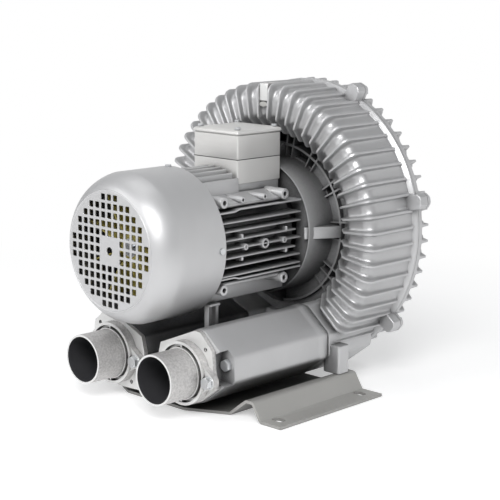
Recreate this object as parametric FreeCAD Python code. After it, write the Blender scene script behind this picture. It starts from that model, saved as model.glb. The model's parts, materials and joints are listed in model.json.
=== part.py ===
import FreeCAD, Part
import math
import os

# Side channel blower in millimetres, +Z up, +Y from the fan cowl towards the channel casing.
# The origin lies on the floor, in the middle of the four foot slots. The motor axis runs along Y.
V = FreeCAD.Vector

# Foot plate
foot_span_x = 322.0
foot_span_y = 147.0
foot_width = 361.0
foot_depth = 185.0
foot_sheet = 3.5
foot_slot_radius = 5.5
foot_slot_length = 17.0
foot_ridge_x = 131.0
foot_ridge_height = 23.5
foot_ridge_top = 9.0
foot_wall_x = 148.0
foot_floor_x = 101.0
foot_tongue_x = 50.0
foot_tongue_depth = 26.0
foot_bend_radius = 6.0
foot_bolt_radius = 2.5
foot_bolt_head = 4.2

# Motor
axis_height = 194.0
frame_half_width = 72.8
frame_core_radius = 58.0
stator_radius = 55.0
rotor_radius = 30.0
air_gap = 0.35
frame_front_y = -100.0
frame_rear_y = 60.0
frame_fin_pitch = 10.6
frame_fin_thickness = 2.2
frame_corner_x = 57.5
frame_corner_z = 69.0
frame_corner_reach = 53.5
panel_foot = 68.5
frame_fin_drop = 4.7
frame_top_fin = 41.7
short_fin_gap = 9.0
boss_height = 51.9
boss_radius = 6.0
boss_hole_radius = 2.75
boss_front_y = -75.4
boss_rear_y = 29.0
stub_places = (-43.8, 34.0)
stub_width = 3.4
stub_height = 5.5
stack_front_y = -52.0
stack_length = 80.0
winding_length = 22.0
shaft_radius = 12.5
bearing_radius = 26.0
bearing_width = 15.0
bearing_inner_radius = 16.5
ball_count = 8
running_gap = 0.05
front_bearing_y = -98.0
rear_bearing_y = 82.0

# Fan cowl and cooling fan
cowl_front_y = -189.4
cowl_face_radius = 70.2
cowl_radius = 89.6
cowl_shoulder = 29.4
cowl_rear_y = -88.3
cowl_sheet = 1.8
cowl_bulge = 3.0
cowl_screw_y = -96.4
grille_pitch = 10.4
grille_hole = 7.2
grille_radius = 66.5
grille_blank = 1
grille_centre_radius = 5.0
fan_radius = 72.0
fan_blades = 9
fan_front_y = -162.0
fan_depth = 36.0

# Terminal box
box_half_width = 37.4
box_front_y = -17.7
box_depth = 76.9
box_base_z = 258.4
box_joint_z = 287.0
box_top_z = 324.0
box_wall = 3.5
box_gasket = 0.8
gland_radius = 8.0
gland_bore = 4.5
gland_y = 30.0
gland_z = 18.5
gland_flats = 19.0

# Channel casing
channel_radius = 143.0
channel_bore = 21.0
casing_wall = 4.5
shell_radius = 174.0
shell_draft = 2.5
shell_front_y = 73.0
shell_corner = 14.0
shell_bend_radius = 140.5
channel_bend_radius = 141.0
duct_end_y = 115.0
fin_count = 56
fin_angle = 1.2
fin_radius = 181.0
fin_front_y = 65.0
fin_corner = 13.0
fin_bend_radius = 137.0
stripper_angle = 26.0
joint_y = 155.5
joint_gasket = 0.5
rear_channel_y = 170.0
rim_radius = 182.0
rim_thickness = 7.0
rim_bevel = 4.0
cover_rim = 5.0
rear_fin_radius = 182.7
rear_fin_edge_y = 175.0
rear_fin_step = (171.0, 180.0)
rear_fin_height = 3.0
floor_y = 106.0
floor_wall = 16.0
pocket_depth = 11.0
hub_wall = 8.0
sealing_land = 20.0
seal_y = 98.5
seal_width = 7.0
seal_radius = 21.0
hub_radius = 86.0
ring_radius = 102.0
ring_height = 5.5
ring_thickness = 2.6
rib_thickness = 2.6
lug_count = 7
lug_start = 12.86
lug_radius = 189.0
lug_size = 9.5
lug_depth = 5.0
cover_recess = 7.0
cover_boss = 44.0
inner_lug_radius = 179.0
bolt_radius = 4.0

# Impeller
impeller_front_y = 124.0
impeller_rear_y = 158.5
impeller_gap = 0.6
blade_count = 44
blade_thickness = 2.2
impeller_hub_step = 4.0
impeller_bolt_radius = 4.0
key_width = 8.0
key_height = 7.0
key_end = 6.0

# Ports and silencers
port_x = 62.8
port_z = 51.7
port_radius = 30.0
port_bore = 27.6
port_mouth_y = -178.9
port_flange_y = -136.5
port_collar = 1.2
plate_front_y = -125.2
plate_thickness = 5.5
seal_thickness = 1.0
silencer_rear_y = 61.5
silencer_wall = 4.0
duct_radius = 22.0
liner_sheet = 1.2
screw_boss = 14.0
support_x = 45.0
support_y = -68.4
port_bolt_x = 43.0
port_bolt_drop = 3.0
port_ear_step = 3.0
plate_screw_offsets = ((29.8, 31.6), (-27.1, -33.2))
tie_bolt_offset = (46.0, 13.0)
tie_pocket = ((36.5, 27.5), (50.5, 25.5), (55, 20), (55, 0), (47, -8), (36.5, 0))
tie_pocket_depth = 14.0
tie_bolt_radius = 4.0
tie_bolt_grip = 15.0
# Silencer section about the port axis: outward, upward
silencer_section = ((-51, 8), (-46, 27), (13, 53), (22, 52.5), (57, 23), (58, -7), (22, -34),
                    (-4, -43.5), (-40, -42), (-50, -14))
plate_section = ((-51, 8), (-46, 27), (12, 51), (21, 50.5), (40.5, 31), (42, 9), (48, -12),
                 (21, -32.5), (-4, -42.5), (-40, -41), (-50, -14))

os.makedirs("parts", exist_ok=True)


def save(name, *shapes):
    """Writes one node; several solids stay separate inside it."""
    solids = [solid for shape in shapes for solid in shape.Solids]
    shape = solids[0] if len(solids) == 1 else Part.makeCompound(solids)
    shape.exportStep("parts/" + name + ".step")


def outline(steps, place):
    """Closed wire. A pair ends a straight run; four numbers are the middle and end of an arc."""
    edges = []
    last = steps[0]
    for step in list(steps[1:]) + [steps[0]]:
        end = step[-2:]
        if len(step) == 4:
            edges.append(Part.Arc(place(*last), place(*step[:2]), place(*end)).toShape())
        elif place(*last).distanceToPoint(place(*end)) > 1e-6:
            edges.append(Part.makeLine(place(*last), place(*end)))
        last = end
    return Part.Wire(edges)


def turned(steps, start=0.0, sweep=360.0):
    """Solid of revolution about the motor axis from a (radius, y) outline, from angle start."""
    face = Part.Face(outline(steps, lambda r, y: V(r, y, axis_height)))
    solid = face.revolve(V(0, 0, axis_height), V(0, -1, 0), sweep)
    return around(solid, start) if start else solid


def around(shape, angle):
    """Copy turned about the motor axis, from +X towards +Z."""
    copy = shape.copy()
    copy.rotate(V(0, 0, axis_height), V(0, -1, 0), angle)
    return copy


def prism(points, y0, y1, x=0.0, z=0.0, side=1):
    """Prism along Y from an (x, z) outline; side -1 mirrors it."""
    wire = outline(points, lambda u, w: V(x + side * u, y0, z + w))
    return Part.Face(wire).extrude(V(0, y1 - y0, 0))


def rod(r, x, z, y0, y1):
    return Part.makeCylinder(r, y1 - y0, V(x, y0, z), V(0, 1, 0))


def tube(outer, inner, x, z, y0, y1):
    return rod(outer, x, z, y0, y1).cut(rod(inner, x, z, y0, y1))


def block(x0, x1, y0, y1, z0, z1):
    return Part.makeBox(x1 - x0, y1 - y0, z1 - z0, V(x0, y0, z0))


def fuse(shapes):
    return shapes[0].multiFuse(shapes[1:]) if len(shapes) > 1 else shapes[0]


def hexagon(across, x, z, y0, y1):
    """Hexagon prism along Y, for bolt heads and nuts."""
    reach = across / math.sqrt(3)
    corners = [(reach * math.cos(math.radians(60 * k)), reach * math.sin(math.radians(60 * k)))
               for k in range(6)]
    return prism(corners, y0, y1, x, z)


def hex_bolt(radius, x, z, head_y, end_y):
    """Bolt along Y: the head stands out of the face at head_y, on the side away from end_y."""
    way = 1 if end_y > head_y else -1
    head = hexagon(3.2 * radius, x, z, *sorted((head_y, head_y - way * 1.3 * radius)))
    return head.fuse(rod(radius, x, z, *sorted((head_y, end_y))))


def mirrored(shape):
    return shape.mirror(V(0, 0, 0), V(1, 0, 0))


# Foot plate: one pressed sheet with two long ridges and slotted outer flanges
def foot_plate():
    half = foot_width / 2
    top = foot_ridge_top / 2
    line = [(half, 0), (foot_wall_x, 0), (foot_ridge_x + top, foot_ridge_height - foot_sheet),
            (foot_ridge_x - top, foot_ridge_height - foot_sheet), (foot_floor_x, 0)]
    line = line + [(-x, z) for x, z in reversed(line)]
    upper = []
    for k, (x, z) in enumerate(line):
        before, after = line[max(k - 1, 0)], line[min(k + 1, len(line) - 1)]
        first = math.atan2(before[1] - z, before[0] - x) if k > 0 else None
        second = math.atan2(z - after[1], x - after[0]) if k < len(line) - 1 else None
        first = second if first is None else first
        second = first if second is None else second
        middle = (first + second) / 2
        reach = foot_sheet / math.cos((first - second) / 2)
        upper.append((x - reach * math.sin(middle), z + reach * math.cos(middle)))
    plate = prism(line + list(reversed(upper)), -foot_depth / 2, foot_depth / 2)
    bends = [edge for edge in plate.Edges if len(edge.Vertexes) == 2
             and abs(edge.Vertexes[0].Y - edge.Vertexes[1].Y) > foot_depth / 2
             and abs(abs(edge.Vertexes[0].X) - half) > 1]
    outer = [edge for edge in bends if abs(edge.Vertexes[0].Z - foot_ridge_height) < 0.1
             or (edge.Vertexes[0].Z < 0.1 and abs(edge.Vertexes[0].X) > foot_ridge_x)]
    plate = plate.makeFillet(foot_bend_radius, outer)
    tongue = prism([(-foot_floor_x, 0), (foot_floor_x, 0), (foot_floor_x, foot_sheet),
                    (-foot_floor_x, foot_sheet)], -foot_depth / 2 - foot_tongue_depth, 0)
    corner = [V(foot_floor_x, -foot_depth / 2, -1), V(foot_tongue_x, -foot_depth / 2 - foot_tongue_depth, -1),
              V(foot_floor_x, -foot_depth / 2 - foot_tongue_depth, -1)]
    wedge = Part.Face(Part.makePolygon(corner + corner[:1])).extrude(V(0, 0, foot_sheet + 2))
    plate = plate.fuse(tongue.cut(wedge).cut(mirrored(wedge))).removeSplitter()
    reach = foot_slot_length / 2 - foot_slot_radius
    for x in (-foot_span_x / 2, foot_span_x / 2):
        hole_x = math.copysign(foot_ridge_x, x)
        plate = plate.cut(rod_z(foot_bolt_radius, hole_x, silencer_rear_y + 12, 0, foot_ridge_height + 1))
        for y in (-foot_span_y / 2, foot_span_y / 2):
            slot = [Part.makeCylinder(foot_slot_radius, foot_sheet + 2, V(x + s * reach, y, -1)) for s in (-1, 1)]
            slot.append(block(x - reach, x + reach, y - foot_slot_radius, y + foot_slot_radius,
                              -1, foot_sheet + 1))
            plate = plate.cut(fuse(slot))
    return plate


# Motor frame: die-cast tube with cooling fins on four sides, corner blocks and tapped bosses
def side_fin_heights():
    """Seven even fins about a middle one that lies a little low, and one beside each boss row."""
    even = [k * frame_fin_pitch - frame_fin_drop for k in range(-3, 4)]
    return even + [frame_top_fin, -frame_top_fin]


def side_bosses():
    """Small bosses of each side: place along Y, height over the axis, outside and hole radius."""
    low, high = -frame_fin_drop, boss_height + 0.4
    return [(-38.5, low, 4.0, 1.8), (-4.5, low, 6.2, 3.8), (29.5, low, 4.0, 1.8), (-44.2, high, 3.8, 1.8),
            (-6.3, high, 3.8, 1.8)]


def side_stubs():
    """Short stubs that stand up and down from the two broken fins."""
    up, down = frame_fin_pitch - frame_fin_drop, -frame_fin_pitch - frame_fin_drop
    return [(y, up, up + stub_height) for y in stub_places] + [(y, down - stub_height, down) for y in stub_places]


def corner_section():
    """Chamfered corner of the frame in its first quadrant."""
    half = frame_half_width
    return [(40, 40), (panel_foot, boss_height - boss_radius), (panel_foot, frame_corner_reach),
            (frame_corner_x, frame_corner_z), (boss_height - boss_radius, half)]


def motor_frame():
    half = frame_half_width
    core = [rod(frame_core_radius, 0, axis_height, frame_front_y, frame_rear_y)]
    corner_y = cowl_rear_y + 2
    for side in (1, -1):
        for up in (1, -1):
            section = [(x, up * z) for x, z in corner_section()]
            core.append(prism(section, corner_y, frame_rear_y, 0, axis_height, side))
            for y in (boss_front_y, boss_rear_y):
                core.append(Part.makeCylinder(boss_radius, 24, V(side * (half - 23), y, axis_height + up * boss_height),
                                              V(side, 0, 0)))
        for y, up, radius, hole in side_bosses():
            core.append(Part.makeCylinder(radius, half - 50, V(side * 50, y, axis_height + up), V(side, 0, 0)))
        for y, low, high in side_stubs():
            core.append(block(*sorted((side * 50, side * half)), y - stub_width / 2, y + stub_width / 2,
                              axis_height + low, axis_height + high))
    thin = frame_fin_thickness / 2
    for offset in side_fin_heights():
        short = short_fin_gap if abs(abs(offset + frame_fin_drop) - frame_fin_pitch) < 1 else 0.0
        y0, y1 = cowl_rear_y + short - 4, frame_rear_y - short
        z = axis_height + offset
        core.append(block(-half, half, y0, y1, z - thin, z + thin))
    for k in range(-4, 5):
        x = k * frame_fin_pitch
        y0 = cowl_rear_y - 4
        core.append(block(x - thin, x + thin, y0, frame_rear_y, axis_height - half, axis_height))
        core.append(block(x - thin, x + thin, y0, frame_rear_y, axis_height, box_base_z - 6))
        core.append(block(x - thin, x + thin, y0, box_front_y - 4, axis_height, axis_height + half))
    core.append(block(-box_half_width + 2, box_half_width - 2, box_front_y + 2, box_front_y + box_depth - 2,
                      axis_height, box_base_z))
    core += cowl_lugs()
    frame = fuse(core)
    cuts = [rod(stator_radius, 0, axis_height, frame_front_y - 1, frame_rear_y + 1)]
    cuts.append(block(-12, 12, box_front_y + 26, box_front_y + 46, axis_height + 40, box_base_z + 1))
    for side in (-1, 1):
        for y in (boss_front_y, boss_rear_y):
            for z in (-boss_height, boss_height):
                cuts.append(Part.makeCylinder(boss_hole_radius, 15, V(side * (half + 2), y, axis_height + z),
                                              V(-side, 0, 0)))
        for y, up, radius, hole in side_bosses():
            cuts.append(Part.makeCylinder(hole, 12, V(side * (half + 2), y, axis_height + up), V(-side, 0, 0)))
    cuts += cowl_screw_holes(2.0)
    return frame.cut(Part.makeCompound(cuts))


def stator_core():
    y1 = stack_front_y + stack_length
    inner = rotor_radius + air_gap
    core = tube(stator_radius, inner, 0, axis_height, stack_front_y, y1)
    slots = [around(block(inner + 3, inner + 15, stack_front_y - 1, y1 + 1, axis_height - 2, axis_height + 2),
                    15 * k) for k in range(24)]
    return core.cut(fuse(slots))


def stator_windings():
    y1 = stack_front_y + stack_length
    inner = rotor_radius + air_gap
    ends = []
    for y, way in ((stack_front_y, -1), (y1, 1)):
        low, high = sorted((y, y + way * winding_length))
        ends.append(turned([(inner + 3, low), (inner + 21, low), (inner + 21, high), (inner + 3, high)]))
    bars = [around(block(inner + 4, inner + 14.7, stack_front_y - 1, y1 + 1, axis_height - 1.7, axis_height + 1.7),
                   15 * k) for k in range(24)]
    return fuse(ends + bars)


# Rotating parts
def motor_shaft():
    fan_end, blower_end = fan_front_y + 1, impeller_rear_y - impeller_hub_step - 1
    shaft = turned([(0, fan_end), (7.5, fan_end), (7.5, front_bearing_y - 8), (shaft_radius, front_bearing_y - 8),
                   (shaft_radius, front_bearing_y + bearing_width), (shaft_radius + 4, front_bearing_y + bearing_width),
                   (shaft_radius + 4, rear_bearing_y), (shaft_radius, rear_bearing_y),
                   (shaft_radius, blower_end), (0, blower_end)])
    cuts = [rod(impeller_bolt_radius, 0, axis_height, blower_end - 25, blower_end + 1), key_block()]
    cuts.append(turned([(7.5 - 0.8, fan_front_y + 4.9), (8, fan_front_y + 4.9), (8, fan_front_y + 6),
                        (7.5 - 0.8, fan_front_y + 6)]))
    return shaft.cut(Part.makeCompound(cuts))


def rotor_core():
    y1 = stack_front_y + stack_length
    return tube(rotor_radius, shaft_radius + 4, 0, axis_height, stack_front_y, y1)


def rotor_end_rings():
    """Cast end rings with short cooling paddles."""
    y1 = stack_front_y + stack_length
    rings = []
    for y, way in ((stack_front_y, -1), (y1, 1)):
        low, high = sorted((y, y + way * 8))
        ring = tube(rotor_radius - 1, rotor_radius - 10, 0, axis_height, low, high)
        tip0, tip1 = sorted((y + way * 8, y + way * 16))
        paddles = [around(block(rotor_radius - 9, rotor_radius - 2, tip0, tip1, axis_height - 1, axis_height + 1),
                          60 * k) for k in range(6)]
        rings.append(fuse([ring] + paddles))
    return rings


def bearing_outer(y):
    return tube(bearing_radius, bearing_radius - 5, 0, axis_height, y, y + bearing_width)


def bearing_inner(y):
    return tube(bearing_inner_radius, shaft_radius, 0, axis_height, y, y + bearing_width)


def bearing_balls(y):
    """Balls in a flat cage ring, clear of the inner race."""
    middle = (bearing_inner_radius + bearing_radius - 5) / 2
    radius = (bearing_radius - 5 - bearing_inner_radius) / 2 - running_gap
    centre = y + bearing_width / 2
    balls = [around(Part.makeSphere(radius, V(middle, centre, axis_height)), 360 * k / ball_count)
             for k in range(ball_count)]
    cage = tube(middle + 0.9, middle - 0.9, 0, axis_height, centre - 3.2, centre + 3.2)
    return fuse([cage] + balls)


def cooling_fan():
    """Moulded fan: hub, back disc and straight radial blades, so it cools in either direction."""
    back = fan_front_y + fan_depth
    body = [turned([(7.5, fan_front_y + 6), (16, fan_front_y + 6), (18, back - 4), (fan_radius - 6, back - 3),
                    (fan_radius - 6, back), (7.5, back)])]
    for k in range(fan_blades):
        blade = prism([(14, -1), (fan_radius - 8, -1), (fan_radius, 0), (fan_radius - 8, 1), (14, 1)],
                      fan_front_y, back - 1, 0, axis_height)
        cutter = Part.Face(Part.makePolygon([V(10, fan_front_y - 1, axis_height - 5),
                                             V(30, fan_front_y - 1, axis_height - 5),
                                             V(10, fan_front_y + 12, axis_height - 5),
                                             V(10, fan_front_y - 1, axis_height - 5)])).extrude(V(0, 0, 10))
        body.append(around(blade.cut(cutter), 360 * k / fan_blades))
    fan = fuse(body)
    return fan.cut(rod(7.5, 0, axis_height, fan_front_y - 1, back + 1))


# Front end shield with the bearing seat, closing the motor under the cowl
def front_end_shield():
    spring_y = front_bearing_y - 1.5
    y0, y1 = spring_y - 3.5, frame_front_y
    seat = front_bearing_y + bearing_width
    shield = turned([(shaft_radius + 1.5, y0), (bearing_radius + 5, y0), (bearing_radius + 8, y1 - 3),
                     (frame_core_radius + 5, y1 - 3), (frame_core_radius + 5, y1), (stator_radius - 1, y1),
                     (stator_radius - 1, y1 + 5), (stator_radius - 5, y1 + 5), (stator_radius - 8, y1 + 1),
                     (bearing_radius + 4, y1 + 1), (bearing_radius + 4, seat), (bearing_radius, seat),
                     (bearing_radius, spring_y), (shaft_radius + 1.5, spring_y)])
    return shield


# Fan cowl: drawn sheet cap with a square-hole grille
def fan_cowl():
    r, f, t = cowl_radius, cowl_face_radius, cowl_sheet
    y0, y1, y2 = cowl_front_y, cowl_front_y + cowl_shoulder, cowl_rear_y
    slant = math.hypot(r - f, cowl_shoulder)
    bulge = ((r + f) / 2 + cowl_bulge * cowl_shoulder / slant, (y0 + y1) / 2 - cowl_bulge * (r - f) / slant)
    shell = turned([(0, y0), (f, y0), (*bulge, r, y1), (r, y2), (r - t, y2), (r - t, y1),
                    (bulge[0] - 0.8 * t, bulge[1] + 0.6 * t, f - 0.4 * t, y0 + t), (0, y0 + t)])
    cells = int(grille_radius // grille_pitch)
    holes = []
    half = grille_hole / 2
    for i in range(-cells, cells + 1):
        for j in range(-cells, cells + 1):
            if max(abs(i), abs(j)) <= grille_blank or math.hypot(i, j) > cells + 0.2:
                continue
            x, z = i * grille_pitch, axis_height + j * grille_pitch
            hole = block(x - half, x + half, y0 - 1, y0 + t + 1, z - half, z + half)
            if math.hypot(abs(x) + half, abs(z - axis_height) + half) > grille_radius:
                hole = hole.common(rod(grille_radius, 0, axis_height, y0 - 1, y0 + t + 1))
            holes.append(hole)
    holes.append(rod(grille_centre_radius, 0, axis_height, y0 - 1, y0 + t + 1))
    holes += cowl_screw_holes(2.2)
    return shell.cut(Part.makeCompound(holes))


def cowl_screw_holes(radius):
    return [around(Part.makeCylinder(radius, 16, V(cowl_radius - 14, cowl_screw_y, axis_height), V(1, 0, 0)), 90 * k)
            for k in range(4)]


def cowl_screws():
    """Four screws through the cowl's rear edge into the frame's lugs."""
    screws = []
    for k in range(4):
        head = Part.makeCylinder(3.6, 2.4, V(cowl_radius, cowl_screw_y, axis_height), V(1, 0, 0))
        shank = Part.makeCylinder(2.0, 14, V(cowl_radius - 14, cowl_screw_y, axis_height), V(1, 0, 0))
        screws.append(around(head.fuse(shank), 90 * k))
    return screws


def cowl_lugs():
    """Ears on the frame's front end that the cowl is screwed to."""
    inner = cowl_radius - cowl_sheet
    y0 = frame_front_y
    lug = block(frame_core_radius - 3, inner + 5, y0, cowl_screw_y + 6, axis_height - 7, axis_height + 7)
    lug = lug.common(rod(inner, 0, axis_height, y0, cowl_screw_y + 6))
    return [around(lug, 90 * k) for k in range(4)]


# Terminal box with its lid, seal, screws and terminal board
def terminal_box_base():
    x, y0, y1 = box_half_width, box_front_y, box_front_y + box_depth
    outer = block(-x, x, y0, y1, box_base_z, box_joint_z)
    inner = block(-x + box_wall, x - box_wall, y0 + box_wall, y1 - box_wall, box_base_z + box_wall, box_joint_z)
    boss = Part.makeCylinder(gland_flats / 2, 4, V(-x - 3, y0 + gland_y, box_base_z + gland_z), V(1, 0, 0))
    entry = Part.makeCylinder(gland_radius, 12, V(-x - 4, y0 + gland_y, box_base_z + gland_z), V(1, 0, 0))
    opening = block(-12, 12, y0 + 26, y0 + 46, box_base_z - 1, box_base_z + box_wall + 1)
    base = outer.fuse(boss).cut(inner).cut(opening).cut(entry)
    posts = [rod_z(4.5, px, py, box_base_z + 1, box_joint_z) for px, py in box_corners()]
    base = fuse([base] + posts)
    holes = [rod_z(2.0, px, py, box_joint_z - 16, box_joint_z + 1) for px, py in box_corners()]
    return base.cut(Part.makeCompound(holes))


def cable_gland():
    """Screwed gland on the box's left side: a thread in the wall, a hexagon and a round nut with the cable bore."""
    wall = -box_half_width - 3
    y, z = box_front_y + gland_y, box_base_z + gland_z
    thread = Part.makeCylinder(gland_radius, 3 + box_wall, V(wall, y, z), V(1, 0, 0))
    flats = hexagon(gland_flats, 0, 0, 0, 6)
    flats.rotate(V(0, 0, 0), V(0, 0, 1), 90)
    flats.translate(V(wall, y, z))
    nut = Part.makeCylinder(gland_flats / 2, 12, V(wall - 18, y, z), V(1, 0, 0))
    nut = nut.makeChamfer(2.0, [edge for edge in nut.Edges if edge.BoundBox.XMax < wall - 17.9])
    bore = Part.makeCylinder(gland_bore, 40, V(wall - 20, y, z), V(1, 0, 0))
    return fuse([thread, flats, nut]).cut(bore)


def rod_z(r, x, y, z0, z1):
    return Part.makeCylinder(r, z1 - z0, V(x, y, z0))


def box_corners():
    inset = 6.0
    return [(sx * (box_half_width - inset), y) for sx in (-1, 1)
            for y in (box_front_y + inset, box_front_y + box_depth - inset)]


def terminal_lid_gasket():
    x, y0, y1 = box_half_width, box_front_y, box_front_y + box_depth
    seal = block(-x, x, y0, y1, box_joint_z, box_joint_z + box_gasket)
    seal = seal.cut(block(-x + box_wall, x - box_wall, y0 + box_wall, y1 - box_wall,
                          box_joint_z - 1, box_joint_z + box_gasket + 1))
    pads = [rod_z(4.5, px, py, box_joint_z, box_joint_z + box_gasket) for px, py in box_corners()]
    holes = [rod_z(2.3, px, py, box_joint_z - 1, box_joint_z + box_gasket + 1) for px, py in box_corners()]
    return fuse([seal] + pads).cut(Part.makeCompound(holes))


def terminal_box_lid():
    """Tall lid, tapered a little, with a rim step and a slightly crowned top."""
    x, y0, y1 = box_half_width, box_front_y, box_front_y + box_depth
    z0 = box_joint_z + box_gasket
    rim_z = box_top_z - 5
    body = block(-x, x, y0, y1, z0, rim_z)
    corners = [edge for edge in body.Edges if abs(edge.Vertexes[0].Z - edge.Vertexes[-1].Z) > 5]
    body = body.makeFillet(3.0, corners)
    rim = block(-x - 1.2, x + 1.2, y0 - 1.2, y1 + 1.2, rim_z, box_top_z)
    corners = [edge for edge in rim.Edges if abs(edge.Vertexes[0].Z - edge.Vertexes[-1].Z) > 2]
    rim = rim.makeFillet(4.0, corners)
    top = [edge for edge in rim.Edges if min(v.Z for v in edge.Vertexes) > box_top_z - 0.1]
    rim = rim.makeChamfer(2.4, top)
    inner = block(-x + box_wall, x - box_wall, y0 + box_wall, y1 - box_wall, z0 - 1, box_top_z - box_wall)
    lid = body.fuse(rim).cut(inner)
    posts = [rod_z(4.5, px, py, z0, box_top_z - 1) for px, py in box_corners()]
    holes = [rod_z(2.3, px, py, z0 - 1, box_top_z + 1) for px, py in box_corners()]
    return fuse([lid] + posts).removeSplitter().cut(Part.makeCompound(holes))


def terminal_lid_screws():
    screws = []
    for px, py in box_corners():
        head = rod_z(3.6, px, py, box_top_z, box_top_z + 2.4)
        shank = rod_z(2.0, px, py, box_joint_z - 14, box_top_z)
        screws.append(head.fuse(shank))
    return screws


def terminal_board():
    y = box_front_y + box_depth / 2
    z = box_base_z + box_wall
    board = block(-20, 20, y + 10, y + 28, z, z + 9)
    studs = [rod_z(1.8, px, py, z + 9, z + 19) for px in (-13, 0, 13) for py in (y + 14, y + 24)]
    return board, studs


# Channel casing, front half: motor flange, dished floor with ring and ribs, half of the channel
def front_fin_profile():
    """Front fin in (radius, y): straight outer edge, rounded corner, flat front, slope down to the floor."""
    low = channel_radius - channel_bore - casing_wall + 0.5
    end = joint_y - rim_thickness
    c = fin_corner
    t = c * (1 - math.sqrt(0.5))
    return [(shell_radius - 2, end), (fin_radius, end), (fin_radius, fin_front_y + c),
            (fin_radius - t, fin_front_y + t, fin_radius - c, fin_front_y), (fin_bend_radius, fin_front_y),
            (low, fin_front_y + fin_bend_radius - low), (low, shell_front_y + shell_bend_radius - low + 1.5),
            (shell_bend_radius + 1, shell_front_y + 2), (shell_radius - shell_corner, shell_front_y + 2),
            (shell_radius - 2, shell_front_y + shell_corner)]


def rear_fin_profile():
    """Rear fin in (radius, y): short straight edge at the rim, a step, then a low crest round the channel."""
    inner = channel_bore + casing_wall - 2
    reach = channel_bore + casing_wall + rear_fin_height
    end = joint_y + joint_gasket + cover_rim - 1
    c, yc, s = channel_radius, rear_channel_y, math.sqrt(0.5)
    flat, steep = math.cos(math.radians(67.5)), math.sin(math.radians(67.5))
    return [(c + inner, end), (rear_fin_radius, end), (rear_fin_radius, rear_fin_edge_y), rear_fin_step,
            (c + reach * s, yc + reach * s), (c + reach * flat, yc + reach * steep, c, yc + reach),
            (c - reach * s, yc + reach * s, c - reach, yc), (c - reach, yc - 0.5), (c - inner, yc - 0.5),
            (c - inner, yc), (c - inner * s, yc + inner * s, c, yc + inner),
            (c + inner * s, yc + inner * s, c + inner, yc)]


def front_channel_profile():
    """Front half of the side channel in (radius, y), as deep as the wall allows."""
    low, high = channel_radius - channel_bore, channel_radius + channel_bore
    deep = shell_front_y + casing_wall + 0.5
    t = shell_corner * (1 - math.sqrt(0.5))
    return [(low, impeller_front_y), (low, deep + channel_bend_radius - low), (channel_bend_radius, deep),
            (high - shell_corner, deep), (high - t, deep + t, high, deep + shell_corner), (high, impeller_front_y)]


def fin_angles(lowest, highest):
    pitch = 360 / fin_count
    start = pitch / 2
    return [start + k * pitch for k in range(-fin_count, fin_count) if lowest <= start + k * pitch <= highest]


def lug_angles():
    return [lug_start + 360 / lug_count * k for k in range(lug_count)]


def lug_place(angle):
    """Radius of the clamping bolt: the lowest sits further in, and so does the one left of the terminal box."""
    inner = abs(angle - 270) < 10 or abs(angle - 116) < 10
    return inner_lug_radius if inner else lug_radius


def lug_root():
    return channel_radius + channel_bore + impeller_gap + 1


def lugs(y0, y1):
    shapes = []
    for angle in lug_angles():
        radius = lug_place(angle)
        shapes.append(around(fuse([rod(lug_size, radius, axis_height, y0, y1),
                                   block(lug_root(), radius, y0, y1, axis_height - lug_size,
                                         axis_height + lug_size)]), angle))
    return shapes


def bolt_holes(y0, y1, radius):
    return [around(rod(radius, lug_place(angle), axis_height, y0, y1), angle) for angle in lug_angles()]


def channel_sweep():
    """Start and length of the side channel: it stops on each side of the stripper between the ports."""
    return -90 + stripper_angle / 2, 360 - stripper_angle


def front_shell_profile():
    """Outline of the front half without its channel: motor flange, hub, floor, outer wall and rim."""
    seat = rear_bearing_y + bearing_width
    boss = bearing_radius + 6
    hollow = hub_radius - hub_wall
    web_y = floor_y + floor_wall
    chamber = channel_radius + channel_bore + impeller_gap
    face_y = impeller_front_y - impeller_gap
    land = channel_radius - channel_bore - sealing_land
    foot = channel_radius - channel_bore - casing_wall
    t = shell_corner * (1 - math.sqrt(0.5))
    lip = shaft_radius + running_gap * 10
    return [(lip, seal_y), (lip, seat), (bearing_radius, seat), (bearing_radius, rear_bearing_y),
            (boss, rear_bearing_y), (boss + 6, seat), (hollow, seat), (hollow, frame_rear_y),
            (hub_radius, frame_rear_y), (hub_radius, floor_y), (foot, floor_y),
            (foot, shell_front_y + shell_bend_radius - foot), (shell_bend_radius, shell_front_y),
            (shell_radius - shell_corner, shell_front_y),
            (shell_radius - t, shell_front_y + t, shell_radius, shell_front_y + shell_corner),
            (shell_radius + shell_draft, joint_y - rim_thickness), (rim_radius, joint_y - rim_thickness + rim_bevel),
            (rim_radius, joint_y), (chamber, joint_y), (chamber, face_y), (land, face_y), (land, web_y),
            (seal_radius + 8, web_y), (seal_radius + 8, seal_y + seal_width + 2),
            (seal_radius, seal_y + seal_width + 2), (seal_radius, seal_y)]


def floor_pockets():
    """Deep pockets between some of the floor ribs, on both sides of the centre."""
    foot = channel_radius - channel_bore - casing_wall
    side = [(28.4, 34.8), (54.3, 60.8), (60.8, 78.0), (78.0, 84.0), (-35.5, -28.7)]
    pockets = []
    for first, last in side + [(180 - b, 180 - a) for a, b in side] + [(84.0, 96.0)]:
        pockets.append(turned([(hub_radius + 2.5, floor_y - 1), (foot - 1.5, floor_y - 1),
                               (foot - 1.5, floor_y + pocket_depth), (hub_radius + 2.5, floor_y + pocket_depth)],
                              first, last - first))
    return pockets


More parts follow.
